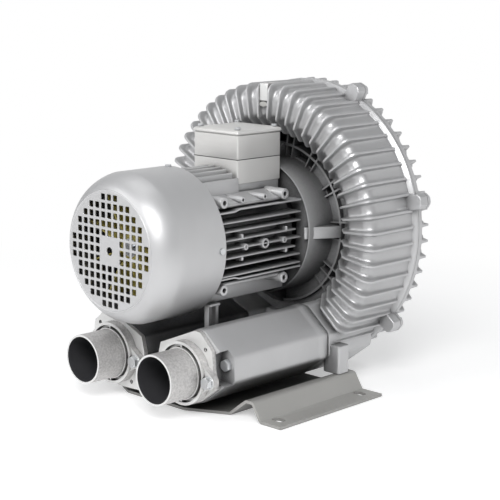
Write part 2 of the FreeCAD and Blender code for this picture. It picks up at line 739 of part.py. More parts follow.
def blower_casing():
    foot = channel_radius - channel_bore - casing_wall
    shell = turned(front_shell_profile()).cut(Part.makeCompound(floor_pockets()))
    fins = [turned(front_fin_profile(), angle - fin_angle / 2, fin_angle) for angle in fin_angles(-53, 233)]
    top, low = floor_y - ring_height, floor_y + pocket_depth + 1
    ring = tube(ring_radius + ring_thickness / 2, ring_radius - ring_thickness / 2, 0, axis_height, top, low)
    thin = rib_thickness / 2
    ribs = [around(block(hub_radius - 4, foot + 2, top, low, axis_height - thin, axis_height + thin), angle)
            for angle in rib_angles()]
    ribs += [around(gusset(), angle) for angle in (0, 90, 180, 270)]
    ports = []
    for side in (1, -1):
        ports.append(prism(silencer_section, silencer_rear_y, impeller_front_y - impeller_gap,
                           side * port_x, port_z, side))
        under = prism(silencer_section, impeller_front_y - impeller_gap - 1, joint_y - rim_thickness,
                      side * port_x, port_z, side)
        ports.append(under.cut(rod(shell_radius - 4, 0, axis_height, impeller_front_y - 3, joint_y)))
        ports.append(leg(side))
    ports = fuse(ports).cut(rod(hub_radius - 2, 0, axis_height, silencer_rear_y - 1, impeller_front_y))
    body = fuse([shell] + fins + [ring] + ribs + lugs(joint_y - 14, joint_y) + [ports])
    start, sweep = channel_sweep()
    cuts = [turned(front_channel_profile(), start, sweep)]
    cuts += [rod(duct_radius, side * port_x, port_z, silencer_rear_y - 1, duct_end_y) for side in (1, -1)]
    cuts += bolt_holes(joint_y - 12, joint_y + 1, bolt_radius)
    for side in (1, -1):
        u, w = tie_bolt_offset
        cuts.append(rod(tie_bolt_radius, side * (port_x + u), port_z + w, silencer_rear_y - 1,
                        silencer_rear_y + tie_bolt_grip))
    return body.cut(Part.makeCompound(cuts))


def rib_angles():
    """Paired ribs across the floor ring, mirrored left and right; none behind the ports."""
    right = [-45.0, -35.5, -28.7, -6.5, 6.5, 28.4, 34.8, 54.3, 60.8, 78.0, 84.0]
    return right + [180 - angle for angle in right]


def gusset():
    """Sloping arm from the motor flange to the floor ring."""
    width = 2 * hub_radius * math.sin(math.radians(5.0)) / 2
    low = floor_y + pocket_depth + 1
    side = [V(hub_radius - 5, frame_rear_y + 6, 0), V(hub_radius + 1, frame_rear_y + 6, 0),
            V(ring_radius, floor_y - ring_height, 0), V(ring_radius, low, 0), V(hub_radius - 5, low, 0)]
    face = Part.Face(Part.makePolygon(side + side[:1]))
    face.translate(V(0, 0, axis_height - width))
    return face.extrude(V(0, 0, 2 * width))


def leg(side):
    """Cast leg from the port block down to the foot plate's ridge, drilled for its bolt."""
    x = side * foot_ridge_x
    low, high = foot_ridge_height, port_z - 2
    body = block(*sorted((x - side * 22, x + side * 4)), silencer_rear_y + 2, silencer_rear_y + 22, low, high)
    return body.cut(rod_z(foot_bolt_radius, x, silencer_rear_y + 12, low - 1, low + 14))


# Rear half of the channel casing
def casing_cover():
    outer = channel_bore + casing_wall
    c, yc, s = channel_radius, rear_channel_y, math.sqrt(0.5)
    y0 = joint_y + joint_gasket
    inner_y = impeller_rear_y + impeller_gap
    chamber = c + channel_bore + impeller_gap
    land = c - channel_bore - sealing_land
    shell = turned([(0, inner_y + cover_recess), (land, inner_y + cover_recess), (land, inner_y),
                    (chamber, inner_y), (chamber, y0),
                    (rim_radius, y0), (rim_radius, y0 + cover_rim), (c + outer + 2, y0 + cover_rim),
                    (c + outer, yc - 4), (c + outer, yc),
                    (c + outer * s, yc + outer * s, c, yc + outer), (c - outer * s, yc + outer * s, c - outer, yc),
                    (c - outer - 4, yc - 2), (cover_boss + 4, yc - 2), (cover_boss, yc + 6), (0, yc + 6)])
    fins = [turned(rear_fin_profile(), angle - fin_angle / 2, fin_angle) for angle in fin_angles(-180, 179.9)]
    thin = rib_thickness / 2
    ribs = [around(block(cover_boss - 4, c - outer + 3, yc - 3, yc + 5, axis_height - thin, axis_height + thin),
                   45 * k) for k in range(8)]
    body = fuse([shell] + fins + ribs + lugs(y0, y0 + lug_depth))
    start, sweep = channel_sweep()
    cuts = [turned([(c + channel_bore, inner_y - 1), (c - channel_bore, inner_y - 1), (c - channel_bore, yc),
                    (c, yc + channel_bore, c + channel_bore, yc)], start, sweep)]
    cuts += bolt_holes(y0 - 1, y0 + lug_depth + 1, bolt_radius + 0.5)
    return body.cut(Part.makeCompound(cuts))


def casing_gasket():
    outer = channel_radius + channel_bore + impeller_gap
    seal = tube(rim_radius - 1, outer + 1, 0, axis_height, joint_y, joint_y + joint_gasket)
    return seal.cut(Part.makeCompound(bolt_holes(joint_y - 1, joint_y + 1, bolt_radius + 0.5)))


def casing_bolts():
    """Clamping bolts from the rear, one in each lug."""
    return [around(hex_bolt(bolt_radius, lug_place(angle), axis_height, joint_y + joint_gasket + lug_depth, joint_y - 11),
                   angle) for angle in lug_angles()]


# Impeller: disc and hub with open blades facing both channels
def impeller():
    y0, y1 = impeller_front_y, impeller_rear_y
    mid = (y0 + y1) / 2
    rim = channel_radius + channel_bore
    low = channel_radius - channel_bore
    step = impeller_hub_step
    disc = turned([(shaft_radius, y0 + step), (28, y0 + step), (32, mid - 3), (low - 6, mid - 3), (low, y0), (low + 3, y0),
                   (low + 9, mid - 2), (rim, mid - 2), (rim, mid + 2), (low + 9, mid + 2), (low + 3, y1), (low, y1),
                   (low - 6, mid + 3), (32, mid + 3), (28, y1 - step), (shaft_radius, y1 - step)])
    blade = block(low + 1, rim, y0, y1, axis_height - blade_thickness / 2, axis_height + blade_thickness / 2)
    blades = [around(blade, 360 * k / blade_count) for k in range(blade_count)]
    wheel = fuse([disc] + blades).common(rod(rim, 0, axis_height, y0 - 1, y1 + 1))
    return wheel.cut(key_block().fuse(rod(shaft_radius, 0, axis_height, y0, y1)))


def key_block():
    """Square key between shaft and impeller hub, also the shape of its seat."""
    y0, y1 = impeller_front_y + key_end, impeller_rear_y - impeller_hub_step
    return block(shaft_radius - key_height / 2, shaft_radius + key_height / 2, y0, y1,
                 axis_height - key_width / 2, axis_height + key_width / 2)


def impeller_washer():
    y0 = impeller_rear_y - impeller_hub_step
    return tube(shaft_radius + 6, impeller_bolt_radius, 0, axis_height, y0, y0 + 3)


def impeller_bolt():
    y0 = impeller_rear_y - impeller_hub_step
    return hex_bolt(impeller_bolt_radius, 0, axis_height, y0 + 3, y0 - 18)


def shaft_seal():
    """Lip seal behind the rear bearing, its lip just clear of the shaft."""
    y0, y1 = seal_y, seal_y + seal_width
    lip = shaft_radius + running_gap
    return turned([(lip, y0 + 3), (lip + 1.5, y0 + 1), (seal_radius - 1.5, y0), (seal_radius, y0),
                   (seal_radius, y1), (lip + 3, y1), (lip + 3, y1 - 2), (lip, y0 + 4)])


def wave_spring():
    """Preload ring between the front shield and the front bearing's outer race."""
    y0 = front_bearing_y - 1.5
    return tube(bearing_radius - 0.5, bearing_radius - 4, 0, axis_height, y0, y0 + 1.5)


def fan_clip():
    """Retaining ring in the shaft's groove in front of the cooling fan."""
    return tube(11, 7.5 - 0.8, 0, axis_height, fan_front_y + 4.9, fan_front_y + 6)


# Port tubes and silencers, mirrored left and right except for the turned bolt flanges
def port_flange(side):
    x, z = side * port_x, port_z
    y0, y1 = port_flange_y, plate_front_y
    rim = rod(38, x, z, y0, y1)
    ears = []
    for s in (-1, 1):
        ex, ez = x + s * port_bolt_x, z - s * port_bolt_drop
        ears.append(rod(9, ex, ez, y0 + port_ear_step, y1))
    waist = prism([(0, 37.5), (port_bolt_x + 3, 6), (port_bolt_x + 6, -port_bolt_drop), (port_bolt_x - 1, -12),
                   (0, -37.5), (-port_bolt_x - 3, -6), (-port_bolt_x - 6, port_bolt_drop), (-port_bolt_x + 1, 12)],
                  y0 + port_ear_step, y1, x, z)
    body = fuse([rim, waist] + ears)
    collar = port_radius + port_collar
    body = body.cut(tube(34.5, collar, x, z, y0 - 1, y0 + 7))
    webs = [block(x - 1.2, x + 1.2, y0 + 1, y0 + 8, z + port_radius - 1, z + 35.5),
            block(x - 1.2, x + 1.2, y0 + 1, y0 + 8, z - 35.5, z - port_radius + 1)]
    body = fuse([body, rod(port_radius, x, z, port_mouth_y, y1), rod(collar, x, z, y0 - 1, y1)] + webs)
    cuts = [rod(port_bore, x, z, port_mouth_y - 1, y1 + 1)]
    for s in (-1, 1):
        bolt_x, bolt_z = x + s * port_bolt_x, z - s * port_bolt_drop
        cuts.append(rod(4.3, bolt_x, bolt_z, y0 - 1, y1 + 1))
        cuts.append(rod(8.2, bolt_x, bolt_z, y0 - 1, y0 + port_ear_step))
    return body.cut(Part.makeCompound(cuts))


def port_bolts(side):
    x, z = side * port_x, port_z
    return [hex_bolt(4.0, x + s * port_bolt_x, z - s * port_bolt_drop, port_flange_y + port_ear_step, plate_front_y + 4.5)
            for s in (-1, 1)]


def silencer_end_plate(side):
    x, z = side * port_x, port_z
    plate = prism(plate_section, plate_front_y, plate_front_y + plate_thickness, x, z, side)
    cuts = [rod(duct_radius + 3, x, z, plate_front_y - 1, plate_front_y + plate_thickness + 1)]
    for s in (-1, 1):
        cuts.append(rod(4.0, x + s * port_bolt_x, z - s * port_bolt_drop, plate_front_y - 1, plate_front_y + 4.5))
    for u, w in plate_screw_offsets:
        cuts.append(rod(2.6, x + side * u, z + w, plate_front_y - 1, plate_front_y + 2))
        cuts.append(rod(2.0, x + side * u, z + w, plate_front_y, plate_front_y + plate_thickness + 1))
    return plate.cut(Part.makeCompound(cuts))


def silencer_chamber(side, y0, y1):
    """Hollow of the silencer: the section less its wall, clear of the tie bolt's column."""
    x, z = side * port_x, port_z
    wire = outline(silencer_section, lambda u, w: V(x + side * u, y0, z + w))
    inner = wire.makeOffset2D(-silencer_wall)
    hollow = Part.Face(inner).extrude(V(0, y1 - y0, 0))
    column = prism([(tie_pocket[0][0] - 3, -60), (70, -60), (70, 60), (tie_pocket[0][0] - 3, 60)], y0, y1, x, z, side)
    corners = [rod(6.5, x + side * u, z + w, y0, y0 + screw_boss) for u, w in plate_screw_offsets]
    return hollow.cut(fuse([column] + corners))


def silencer_ends():
    return plate_front_y + plate_thickness, silencer_rear_y - seal_thickness


def silencer_body(side):
    x, z = side * port_x, port_z
    y0, y1 = silencer_ends()
    body = prism(silencer_section, y0, y1, x, z, side)
    cuts = [silencer_chamber(side, y0, y1 - silencer_wall), rod(duct_radius, x, z, y0, y1 + 1)]
    u, w = tie_bolt_offset
    cuts.append(rod(tie_bolt_radius, x + side * u, z + w, y0 - 1, y1 + 1))
    cuts.append(prism(tie_pocket, y0 - 1, y0 + tie_pocket_depth, x, z, side))
    for u, w in plate_screw_offsets:
        cuts.append(rod(2.0, x + side * u, z + w, y0 - 1, y0 + 12))
    return body.cut(Part.makeCompound(cuts))


def silencer_foam(side):
    """Foam block that fills the hollow round the perforated liner."""
    y0, y1 = silencer_ends()
    foam = silencer_chamber(side, y0, y1 - silencer_wall)
    return foam.cut(rod(duct_radius + liner_sheet, side * port_x, port_z, y0 - 1, y1))


def silencer_liner(side):
    """Perforated sheet tube that holds the foam."""
    y0, y1 = silencer_ends()
    return tube(duct_radius + liner_sheet, duct_radius, side * port_x, port_z, y0, y1 - silencer_wall)


def silencer_gasket(side):
    x, z = side * port_x, port_z
    y0 = silencer_rear_y - seal_thickness
    seal = tube(duct_radius + 8, duct_radius, x, z, y0, silencer_rear_y)
    u, w = tie_bolt_offset
    return seal.cut(rod(4.3, x + side * u, z + w, y0 - 1, silencer_rear_y + 1))


def tie_bolt(side):
    """Long bolt through the silencer into the casing."""
    u, w = tie_bolt_offset
    y0, y1 = silencer_ends()
    return hex_bolt(tie_bolt_radius, side * (port_x + u), port_z + w, y0 + tie_pocket_depth,
                    silencer_rear_y + tie_bolt_grip - 1)


def plate_screws(side):
    """Two countersunk screws, flush with the plate's front."""
    y = plate_front_y
    screws = []
    for u, w in plate_screw_offsets:
        x, z = side * (port_x + u), port_z + w
        screws.append(rod(2.0, x, z, y + 2, y + plate_thickness + 11))
    return screws


def motor_support(side):
    """Bracket under the motor's front end: a pad on the frame and two legs on the silencer's top."""
    x = side * support_x
    top = axis_height - frame_half_width
    pad = block(x - 6, x + 6, support_y - 9, support_y + 9, top - 3, top)
    legs = [block(x - 4, x + 4, y - 2.5, y + 2.5, port_z, top - 2) for y in (support_y - 5.5, support_y + 5.5)]
    body = fuse([pad] + legs)
    y0, y1 = silencer_ends()
    return body.cut(prism(silencer_section, y0, y1, side * port_x, port_z, side))


def foot_bolts(side):
    """Bolts up through the foot plate's ridge into the casing leg."""
    x = side * foot_ridge_x
    y = silencer_rear_y + 12
    low = foot_ridge_height - foot_sheet
    head = Part.makeCylinder(foot_bolt_head, 4, V(x, y, low - 4))
    return head.fuse(Part.makeCylinder(foot_bolt_radius, foot_sheet + 14, V(x, y, low)))


# Every node of the blower
save("foot_plate", foot_plate())
save("motor_frame", motor_frame())
save("stator_core", stator_core())
save("stator_windings", stator_windings())
save("motor_shaft", motor_shaft())
save("rotor_core", rotor_core())
save("rotor_end_rings", *rotor_end_rings())
for end, place in (("front", front_bearing_y), ("rear", rear_bearing_y)):
    save(end + "_bearing_outer_race", bearing_outer(place))
    save(end + "_bearing_inner_race", bearing_inner(place))
    save(end + "_bearing_balls", bearing_balls(place))
save("front_end_shield", front_end_shield())
save("fan_cowl", fan_cowl())
save("cowl_screws", *cowl_screws())
save("cooling_fan", cooling_fan())
save("terminal_box_base", terminal_box_base())
save("terminal_lid_gasket", terminal_lid_gasket())
save("terminal_box_lid", terminal_box_lid())
save("terminal_lid_screws", *terminal_lid_screws())
board, studs = terminal_board()
save("terminal_board", board)
save("terminal_studs", *studs)
save("cable_gland", cable_gland())
save("blower_casing", blower_casing())
save("casing_cover", casing_cover())
save("casing_gasket", casing_gasket())
save("casing_bolts", *casing_bolts())
save("impeller", impeller())
save("impeller_key", key_block())
save("impeller_washer", impeller_washer())
save("impeller_bolt", impeller_bolt())
save("shaft_seal", shaft_seal())
save("wave_spring", wave_spring())
save("fan_clip", fan_clip())
save("foot_bolts", foot_bolts(-1), foot_bolts(1))
for name, side in (("left", -1), ("right", 1)):
    save(name + "_port_flange", port_flange(side))
    save(name + "_port_bolts", *port_bolts(side))
    save(name + "_silencer_end_plate", silencer_end_plate(side))
    save(name + "_silencer_body", silencer_body(side))
    save(name + "_silencer_foam", silencer_foam(side))
    save(name + "_silencer_liner", silencer_liner(side))
    save(name + "_silencer_gasket", silencer_gasket(side))
    save(name + "_silencer_tie_bolt", tie_bolt(side))
    save(name + "_plate_screws", *plate_screws(side))
    save(name + "_motor_support", motor_support(side))
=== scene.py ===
import json
import math
import bmesh
import bpy
import numpy as np
from mathutils import Matrix, Vector
from mathutils.geometry import delaunay_2d_cdt


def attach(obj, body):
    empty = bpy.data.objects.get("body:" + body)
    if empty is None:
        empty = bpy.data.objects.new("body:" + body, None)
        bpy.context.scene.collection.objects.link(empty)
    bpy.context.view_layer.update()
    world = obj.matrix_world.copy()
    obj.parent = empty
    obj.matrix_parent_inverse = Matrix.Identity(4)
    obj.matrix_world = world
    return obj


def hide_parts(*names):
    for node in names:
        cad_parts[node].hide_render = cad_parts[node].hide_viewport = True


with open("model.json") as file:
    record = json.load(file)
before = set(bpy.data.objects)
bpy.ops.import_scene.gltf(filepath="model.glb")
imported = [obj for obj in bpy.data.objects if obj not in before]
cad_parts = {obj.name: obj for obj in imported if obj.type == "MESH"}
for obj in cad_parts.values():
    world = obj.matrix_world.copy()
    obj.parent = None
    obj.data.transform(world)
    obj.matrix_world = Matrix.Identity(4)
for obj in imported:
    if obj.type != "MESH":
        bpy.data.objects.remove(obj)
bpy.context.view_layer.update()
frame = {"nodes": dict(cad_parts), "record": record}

# Camera
# The photograph looks at the blower from its front right, a little above the motor's axis, through a long
# lens. Place, lens and roll were fitted to the circles of the cowl, the port tubes and the casing.
azimuth, elevation, roll = math.radians(43.5), math.radians(11.1), math.radians(0.5)
target, distance = Vector((0.0802, -0.0394, 0.1868)), 1.6269
back = Vector((math.sin(azimuth) * math.cos(elevation), -math.cos(azimuth) * math.cos(elevation),
               math.sin(elevation)))
right = Vector((math.cos(azimuth), math.sin(azimuth), 0))
up = back.cross(right)
tilted = right * math.cos(roll) + up * math.sin(roll)
place = Matrix((tilted, back.cross(tilted), back)).transposed().to_4x4()
place.translation = target + back * distance
lens = bpy.data.cameras.new("camera")
lens.lens = 99.0
lens.sensor_width = 36.0
lens.clip_end = 30.0
camera = bpy.data.objects.new("camera", lens)
camera.matrix_world = place
bpy.context.scene.collection.objects.link(camera)
bpy.context.scene.camera = camera
bpy.context.scene.view_settings.view_transform = "Standard"


# Floor and studio light
# A seamless white floor and backdrop behind the blower, a dim room in front of it, and three soft boxes,
# as for a product picture. Metal shows the backdrop and the room.
def colour(text):
    """Linear colour of an sRGB hex value."""
    parts = [int(text[k:k + 2], 16) / 255 for k in (1, 3, 5)]
    return [p / 12.92 if p <= 0.04045 else ((p + 0.055) / 1.055) ** 2.4 for p in parts] + [1.0]


def add(tree, kind, inputs=None, **settings):
    """Adds one node; inputs are values or the sockets that feed them."""
    node = tree.nodes.new("ShaderNode" + kind)
    for name, value in settings.items():
        setattr(node, name, value)
    for name, value in (inputs or {}).items():
        if isinstance(value, bpy.types.NodeSocket):
            tree.links.new(value, node.inputs[name])
        else:
            node.inputs[name].default_value = value
    return node


def clear_tree(owner):
    """Empty node tree of a material or a world."""
    owner.use_nodes = True
    owner.node_tree.nodes.clear()
    return owner.node_tree


# Metal that mirrors what is behind the blower (+Y) shows the backdrop, up to a height, and otherwise the dim
# room. The camera sees plain white all round.
full_white = (1, 1, 1, 1)
world = bpy.data.worlds.new("surround")
bpy.context.scene.world = world
tree = clear_tree(world)
path = add(tree, "LightPath")
way = add(tree, "SeparateXYZ", {0: add(tree, "TexCoord").outputs["Generated"]})
behind = add(tree, "MapRange", {"Value": way.outputs["Y"], "From Min": 0.15, "From Max": 0.55,
                                "To Max": 0.75})
wall = add(tree, "MapRange", {"Value": way.outputs["Z"], "From Min": 0.75, "From Max": 0.35})
backdrop = add(tree, "Math", {0: behind.outputs["Result"], 1: wall.outputs["Result"]}, operation="MULTIPLY")
mirrored = add(tree, "Math", {0: backdrop.outputs[0], 1: path.outputs["Is Glossy Ray"]}, operation="MULTIPLY")
seen = add(tree, "Math", {0: path.outputs["Is Camera Ray"], 1: path.outputs["Is Transmission Ray"]},
           operation="MAXIMUM")
seen = add(tree, "Math", {0: seen.outputs[0], 1: mirrored.outputs[0]}, operation="MAXIMUM")
glow = add(tree, "Background", {"Color": colour("#D9DBDD"), "Strength": 0.38})
white = add(tree, "Background", {"Color": full_white, "Strength": 1.0})
mixed = add(tree, "MixShader", {0: seen.outputs[0], 1: glow.outputs[0], 2: white.outputs[0]})
add(tree, "OutputWorld", {"Surface": mixed.outputs[0]})

# White cloth: it keeps the blower's shadow near the feet and fades to plain white from 0.45 m to 1 m away
half_floor, below_feet = 6, 0.0004
floor_mesh = bpy.data.meshes.new("floor")
floor_mesh.from_pydata([(half_floor * x, half_floor * y, 0) for x, y in ((-1, -1), (1, -1), (1, 1), (-1, 1))],
                       [], [(0, 1, 2, 3)])
floor = bpy.data.objects.new("floor", floor_mesh)
floor.location.z = -below_feet
bpy.context.scene.collection.objects.link(floor)
tree = clear_tree(bpy.data.materials.new("white_floor"))
floor_mesh.materials.append(bpy.data.materials["white_floor"])
path = add(tree, "LightPath")
seen = add(tree, "Math", {0: path.outputs["Is Camera Ray"], 1: path.outputs["Is Glossy Ray"]},
           operation="MAXIMUM")
cloth = add(tree, "BsdfDiffuse", {"Color": colour("#E9E9E9")})
lift = add(tree, "Emission", {"Color": full_white, "Strength": 0.42})
near = add(tree, "AddShader", {0: cloth.outputs[0], 1: lift.outputs[0]})
away = add(tree, "Emission", {"Color": full_white, "Strength": 1.0})
reach = add(tree, "VectorMath", {0: add(tree, "TexCoord").outputs["Object"]}, operation="LENGTH")
fade = add(tree, "MapRange", {"Value": reach.outputs["Value"], "From Min": 0.45, "From Max": 1.0},
           interpolation_type="SMOOTHSTEP")
both = add(tree, "MixShader", {0: fade.outputs["Result"], 1: near.outputs[0], 2: away.outputs[0]})
mixed = add(tree, "MixShader", {0: seen.outputs[0], 1: cloth.outputs[0], 2: both.outputs[0]})
add(tree, "OutputMaterial", {"Surface": mixed.outputs[0]})

blower_middle = (0, 0, 0.2)


def soft_box(name, spot, width, height, power):
    """Rectangular lamp at spot, turned to the middle of the blower; sizes in metres, power in watts."""
    data = bpy.data.lights.new(name, "AREA")
    data.shape = "RECTANGLE"
    data.size, data.size_y, data.energy = width, height, power
    lamp = bpy.data.objects.new(name, data)
    lamp.location = spot
    lamp.rotation_euler = (Vector(blower_middle) - Vector(spot)).to_track_quat("-Z", "Y").to_euler()
    bpy.context.scene.collection.objects.link(lamp)


soft_box("key_box", (1.2, -1.5, 1.6), 1.2, 1.0, 40)
soft_box("left_box", (-1.1, -2.0, 1.4), 1.8, 1.6, 21)
soft_box("top_box", (-0.4, 0.0, 2.1), 1.2, 1.2, 5)


# Channel casing, front half
# Die-cast aluminium under silver-grey enamel: a square-shouldered channel shell with 56 cooling fins cast on,
# a sunk floor with a ring and paired ribs, a hub that carries the motor, and two port blocks on short legs.
MM = 0.001
axis_z = 194.0
finishes = {}


def surface(name, light, dark, metal, rough, grain_mm, grain, cloud_mm=60.0, shade=0.0, reach_mm=30.0,
            faced=None, bore=None):
    """Material with a cloudy colour and roughness, and a bump whose grain is grain_mm across. Recesses less
    than reach_mm from other faces get a painted shade, darker by up to shade; faces that look forward are
    machined to the colour faced. A bore (x, z, radius) and its mirror image get a painted shade of dark grey."""
    made = bpy.data.materials.new(name)
    tree = clear_tree(made)
    where = add(tree, "TexCoord").outputs["Object"]
    cloud = add(tree, "TexNoise", {"Vector": where, "Scale": 1000 / cloud_mm, "Detail": 4.0})
    fine = add(tree, "TexNoise", {"Vector": where, "Scale": 1000 / grain_mm, "Detail": 3.0})
    tint = add(tree, "Mix", {"Factor": cloud.outputs["Fac"], "A": colour(light), "B": colour(dark)},
               data_type="RGBA").outputs["Result"]
    # Painted shade: the colour is scaled down where faces closer than reach_mm hide the sky (ambient
    # occlusion)
    if shade:
        open_sky = add(tree, "AmbientOcclusion", {"Distance": reach_mm * MM}, samples=4)
        depth = add(tree, "MapRange", {"Value": open_sky.outputs["AO"], "From Min": 0.1, "From Max": 0.7,
                                       "To Min": 1 - shade, "To Max": 1.0})
        tint = add(tree, "VectorMath", {0: tint, "Scale": depth.outputs["Result"]},
                   operation="SCALE").outputs["Vector"]
    # Painted shade in the bore: its walls are coloured dark grey, whatever light reaches them
    if bore:
        x, z, radius = bore
        rim = 0.3
        folded = add(tree, "VectorMath", {0: where}, operation="ABSOLUTE").outputs["Vector"]
        beside = add(tree, "VectorMath", {0: folded, 1: (x * MM, 0, z * MM)}, operation="SUBTRACT")
        beside = add(tree, "VectorMath", {0: beside.outputs["Vector"], 1: (1, 0, 1)}, operation="MULTIPLY")
        off = add(tree, "VectorMath", {0: beside.outputs["Vector"]}, operation="LENGTH")
        inside = add(tree, "MapRange", {"Value": off.outputs["Value"], "From Min": (radius + rim) * MM,
                                        "From Max": radius * MM})
        tint = add(tree, "Mix", {"Factor": inside.outputs["Result"], "A": tint, "B": colour("#505053")},
                   data_type="RGBA").outputs["Result"]
    spread = 0.08
    polish = add(tree, "MapRange", {"Value": cloud.outputs["Fac"], "To Min": rough - spread,
                                    "To Max": rough + spread}).outputs["Result"]
    if faced:
        machined_rough = 0.34
        facing = add(tree, "VectorMath", {0: add(tree, "NewGeometry").outputs["True Normal"], 1: (0, -1, 0)},
                     operation="DOT_PRODUCT")
        cut = add(tree, "MapRange", {"Value": facing.outputs["Value"], "From Min": 0.6, "From Max": 0.95})
        tint = add(tree, "Mix", {"Factor": cut.outputs["Result"], "A": tint, "B": colour(faced)},
                   data_type="RGBA").outputs["Result"]
        polish = add(tree, "Mix", {"Factor": cut.outputs["Result"], "A": polish,
                                   "B": machined_rough}).outputs["Result"]
    bump = add(tree, "Bump", {"Height": fine.outputs["Fac"], "Strength": grain, "Distance": 0.0004})
    skin = add(tree, "BsdfPrincipled", {"Base Color": tint, "Metallic": metal,
                                        "Roughness": polish, "Normal": bump.outputs["Normal"]})
    add(tree, "OutputMaterial", {"Surface": skin.outputs[0]})
    return made


def coat(slot, finish):
    """Keeps the finish of a material slot and gives it to the CAD nodes of that slot."""
    finishes[slot] = finish
    for row in frame["record"]["subparts"]:
        if row["material_slot"] == slot:
            skins = frame["nodes"][row["node"]].data.materials
            skins.clear()
            skins.append(finish)


# Silver enamel, sprayed on the die casting: a satin silver with broad soft highlights and a light pebbling.
# Recesses are darkened by a painted shade, from faces as far as 30 mm away.
coat("silver_paint", surface("silver_enamel_on_die_casting", "#CFCFD0", "#C2C2C3", metal=0.62, rough=0.42,
                             grain_mm=1.4, grain=0.22, shade=0.85))

# The same enamel on the cowl and on the pieces round the deep recesses between motor, silencers and casing: a
# little duller, with a deep painted shade from faces as far as 110 mm away.
in_shade = surface("silver_enamel_with_deep_painted_shade", "#CFCFD0", "#C2C2C3", metal=0.55, rough=0.44,
                   grain_mm=1.4, grain=0.22, shade=0.98, reach_mm=110.0)


def strip_faces(grid, looped):
    """Faces that join neighbouring rows of points round all their columns. The last row joins the first if
    looped, otherwise each end row is capped. The volume inside is the sum over faces of the triple products
    of their corners; where it comes out negative, all faces are turned round, so that they point outwards."""
    rows, columns = grid.shape[:2]
    number = np.arange(rows * columns).reshape(rows, columns)
    first = number if looped else number[:-1]
    second = np.roll(number, -1, 0) if looped else number[1:]
    faces = np.stack([first, np.roll(first, -1, 1), np.roll(second, -1, 1), second], -1).reshape(-1, 4)
    a, b, c, d = (grid.reshape(-1, 3)[faces[:, k]] for k in range(4))
    volume = (np.cross(a, b) * c).sum() + (np.cross(a, c) * d).sum()
    faces = faces.tolist()
    if not looped:
        faces += [number[0, ::-1].tolist(), number[-1].tolist()]
        for end in (grid[0, ::-1], grid[-1]):
            volume += (np.cross(end[0], end[1:-1]) * end[2:]).sum()
    return [face[::-1] for face in faces] if volume < 0 else faces


def mesh_piece(name, points, faces, limit=32.0):
    """Object at the origin from points in mm, smooth except where faces meet at more than limit degrees."""
    mesh = bpy.data.meshes.new(name)
    mesh.from_pydata((np.asarray(points) * MM).tolist(), [], faces)
    mesh.shade_smooth()
    mesh.set_sharp_from_angle(angle=math.radians(limit))
    piece = bpy.data.objects.new(name, mesh)
    bpy.context.scene.collection.objects.link(piece)
    return piece


def swept(name, *grids, looped=False, limit=32.0):
    """One piece of closed strips, each worked out as rows of points in mm."""
    points, faces = [], []
    for grid in grids:
        base = sum(len(part) for part in points)
        faces += [[base + k for k in face] for face in strip_faces(grid, looped)]
        points.append(grid.reshape(-1, 3))
    return mesh_piece(name, np.concatenate(points), faces, limit)


def dress(piece, body, slot, *nodes, finish=None):
    """Gives a piece its body and a finish, its slot's unless one is given, and hides the nodes it stands for.
    """
    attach(piece, body)
    piece.data.materials.clear()
    piece.data.materials.append(finish or finishes[slot])
    if nodes:
        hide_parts(*nodes)
    return piece


def spun(name, profile, columns=192, limit=32.0):
    """Revolves a closed (radius, y) outline about the motor axis: x is radius times cosine of the angle,
    z is radius times its sine above the axis."""
    angles = np.radians(np.arange(columns) * 360.0 / columns)
    profile = np.asarray(profile, float)
    radius, depth = profile[:, 0][:, None], profile[:, 1][:, None]
    grid = np.stack([radius * np.cos(angles), depth + 0 * angles, axis_z + radius * np.sin(angles)], -1)
    return swept(name, grid, looped=True, limit=limit)


def arc(x, y, radius, first, last, count):
    """Points of a circle from one angle to another in degrees."""
    turn = np.radians(np.linspace(first, last, count))
    return np.stack([x + radius * np.cos(turn), y + radius * np.sin(turn)], -1)


def run(start, end, count):
    """Evenly spaced points of a straight run."""
    return np.linspace(start, end, count)


# Valley and crest of the front fins, and what closes the section behind them, in (radius, y)
valley = np.concatenate([run((117.5, 107), (117.5, 96.5), 4), run((117.5, 96.2), (118.6, 94.9), 4),
                         run((119.5, 94), (138.5, 75), 8), arc(142.5, 79, 6, 225, 270, 4),
                         run((145, 73), (159, 73), 6), arc(160, 87, 14, -88, -2, 9),
                         run((174.1, 89), (176.4, 144), 9),
                         [(176.45, 146), (176.5, 147.4), (176.6, 148.4), (176.8, 149.1)]])
crest = np.concatenate([run((117.5, 107), (117.5, 96.5), 4),
                        [(117.7, 95.6), (117.9, 86), (118.3, 84.4), (119.3, 82.9)],
                        run((120.5, 81.5), (134.5, 67.5), 8), arc(138.6, 71.2, 6.2, 230, 268, 4),
                        run((141, 65), (165, 65), 6), arc(168, 78, 13, -88, -2, 9),
                        run((181, 80), (181.4, 143.6), 9),
                        [(181.3, 145.6), (180.6, 147.3), (179.2, 148.6), (177.4, 149.2)]])
closing = np.array([(181.4, 152.2), (182, 152.9), (182, 155.5), (164.6, 155.5), (164.6, 123.4),
                    (117.5, 123.4)])

# Section across one fin: its height as a share of the way from valley to crest, by degrees from its middle
fin_count = 56
pitch = 360 / fin_count
across = np.array([0.0, 0.36, 0.5, 0.6, 0.72, 0.9, 1.3, 2.1])
share = np.array([1.0, 1.0, 0.95, 0.8, 0.45, 0.2, 0.065, 0.0])
offsets = np.concatenate([-across[:0:-1], across, [pitch / 2]])
heights = np.concatenate([share[:0:-1], share, [0.0]])


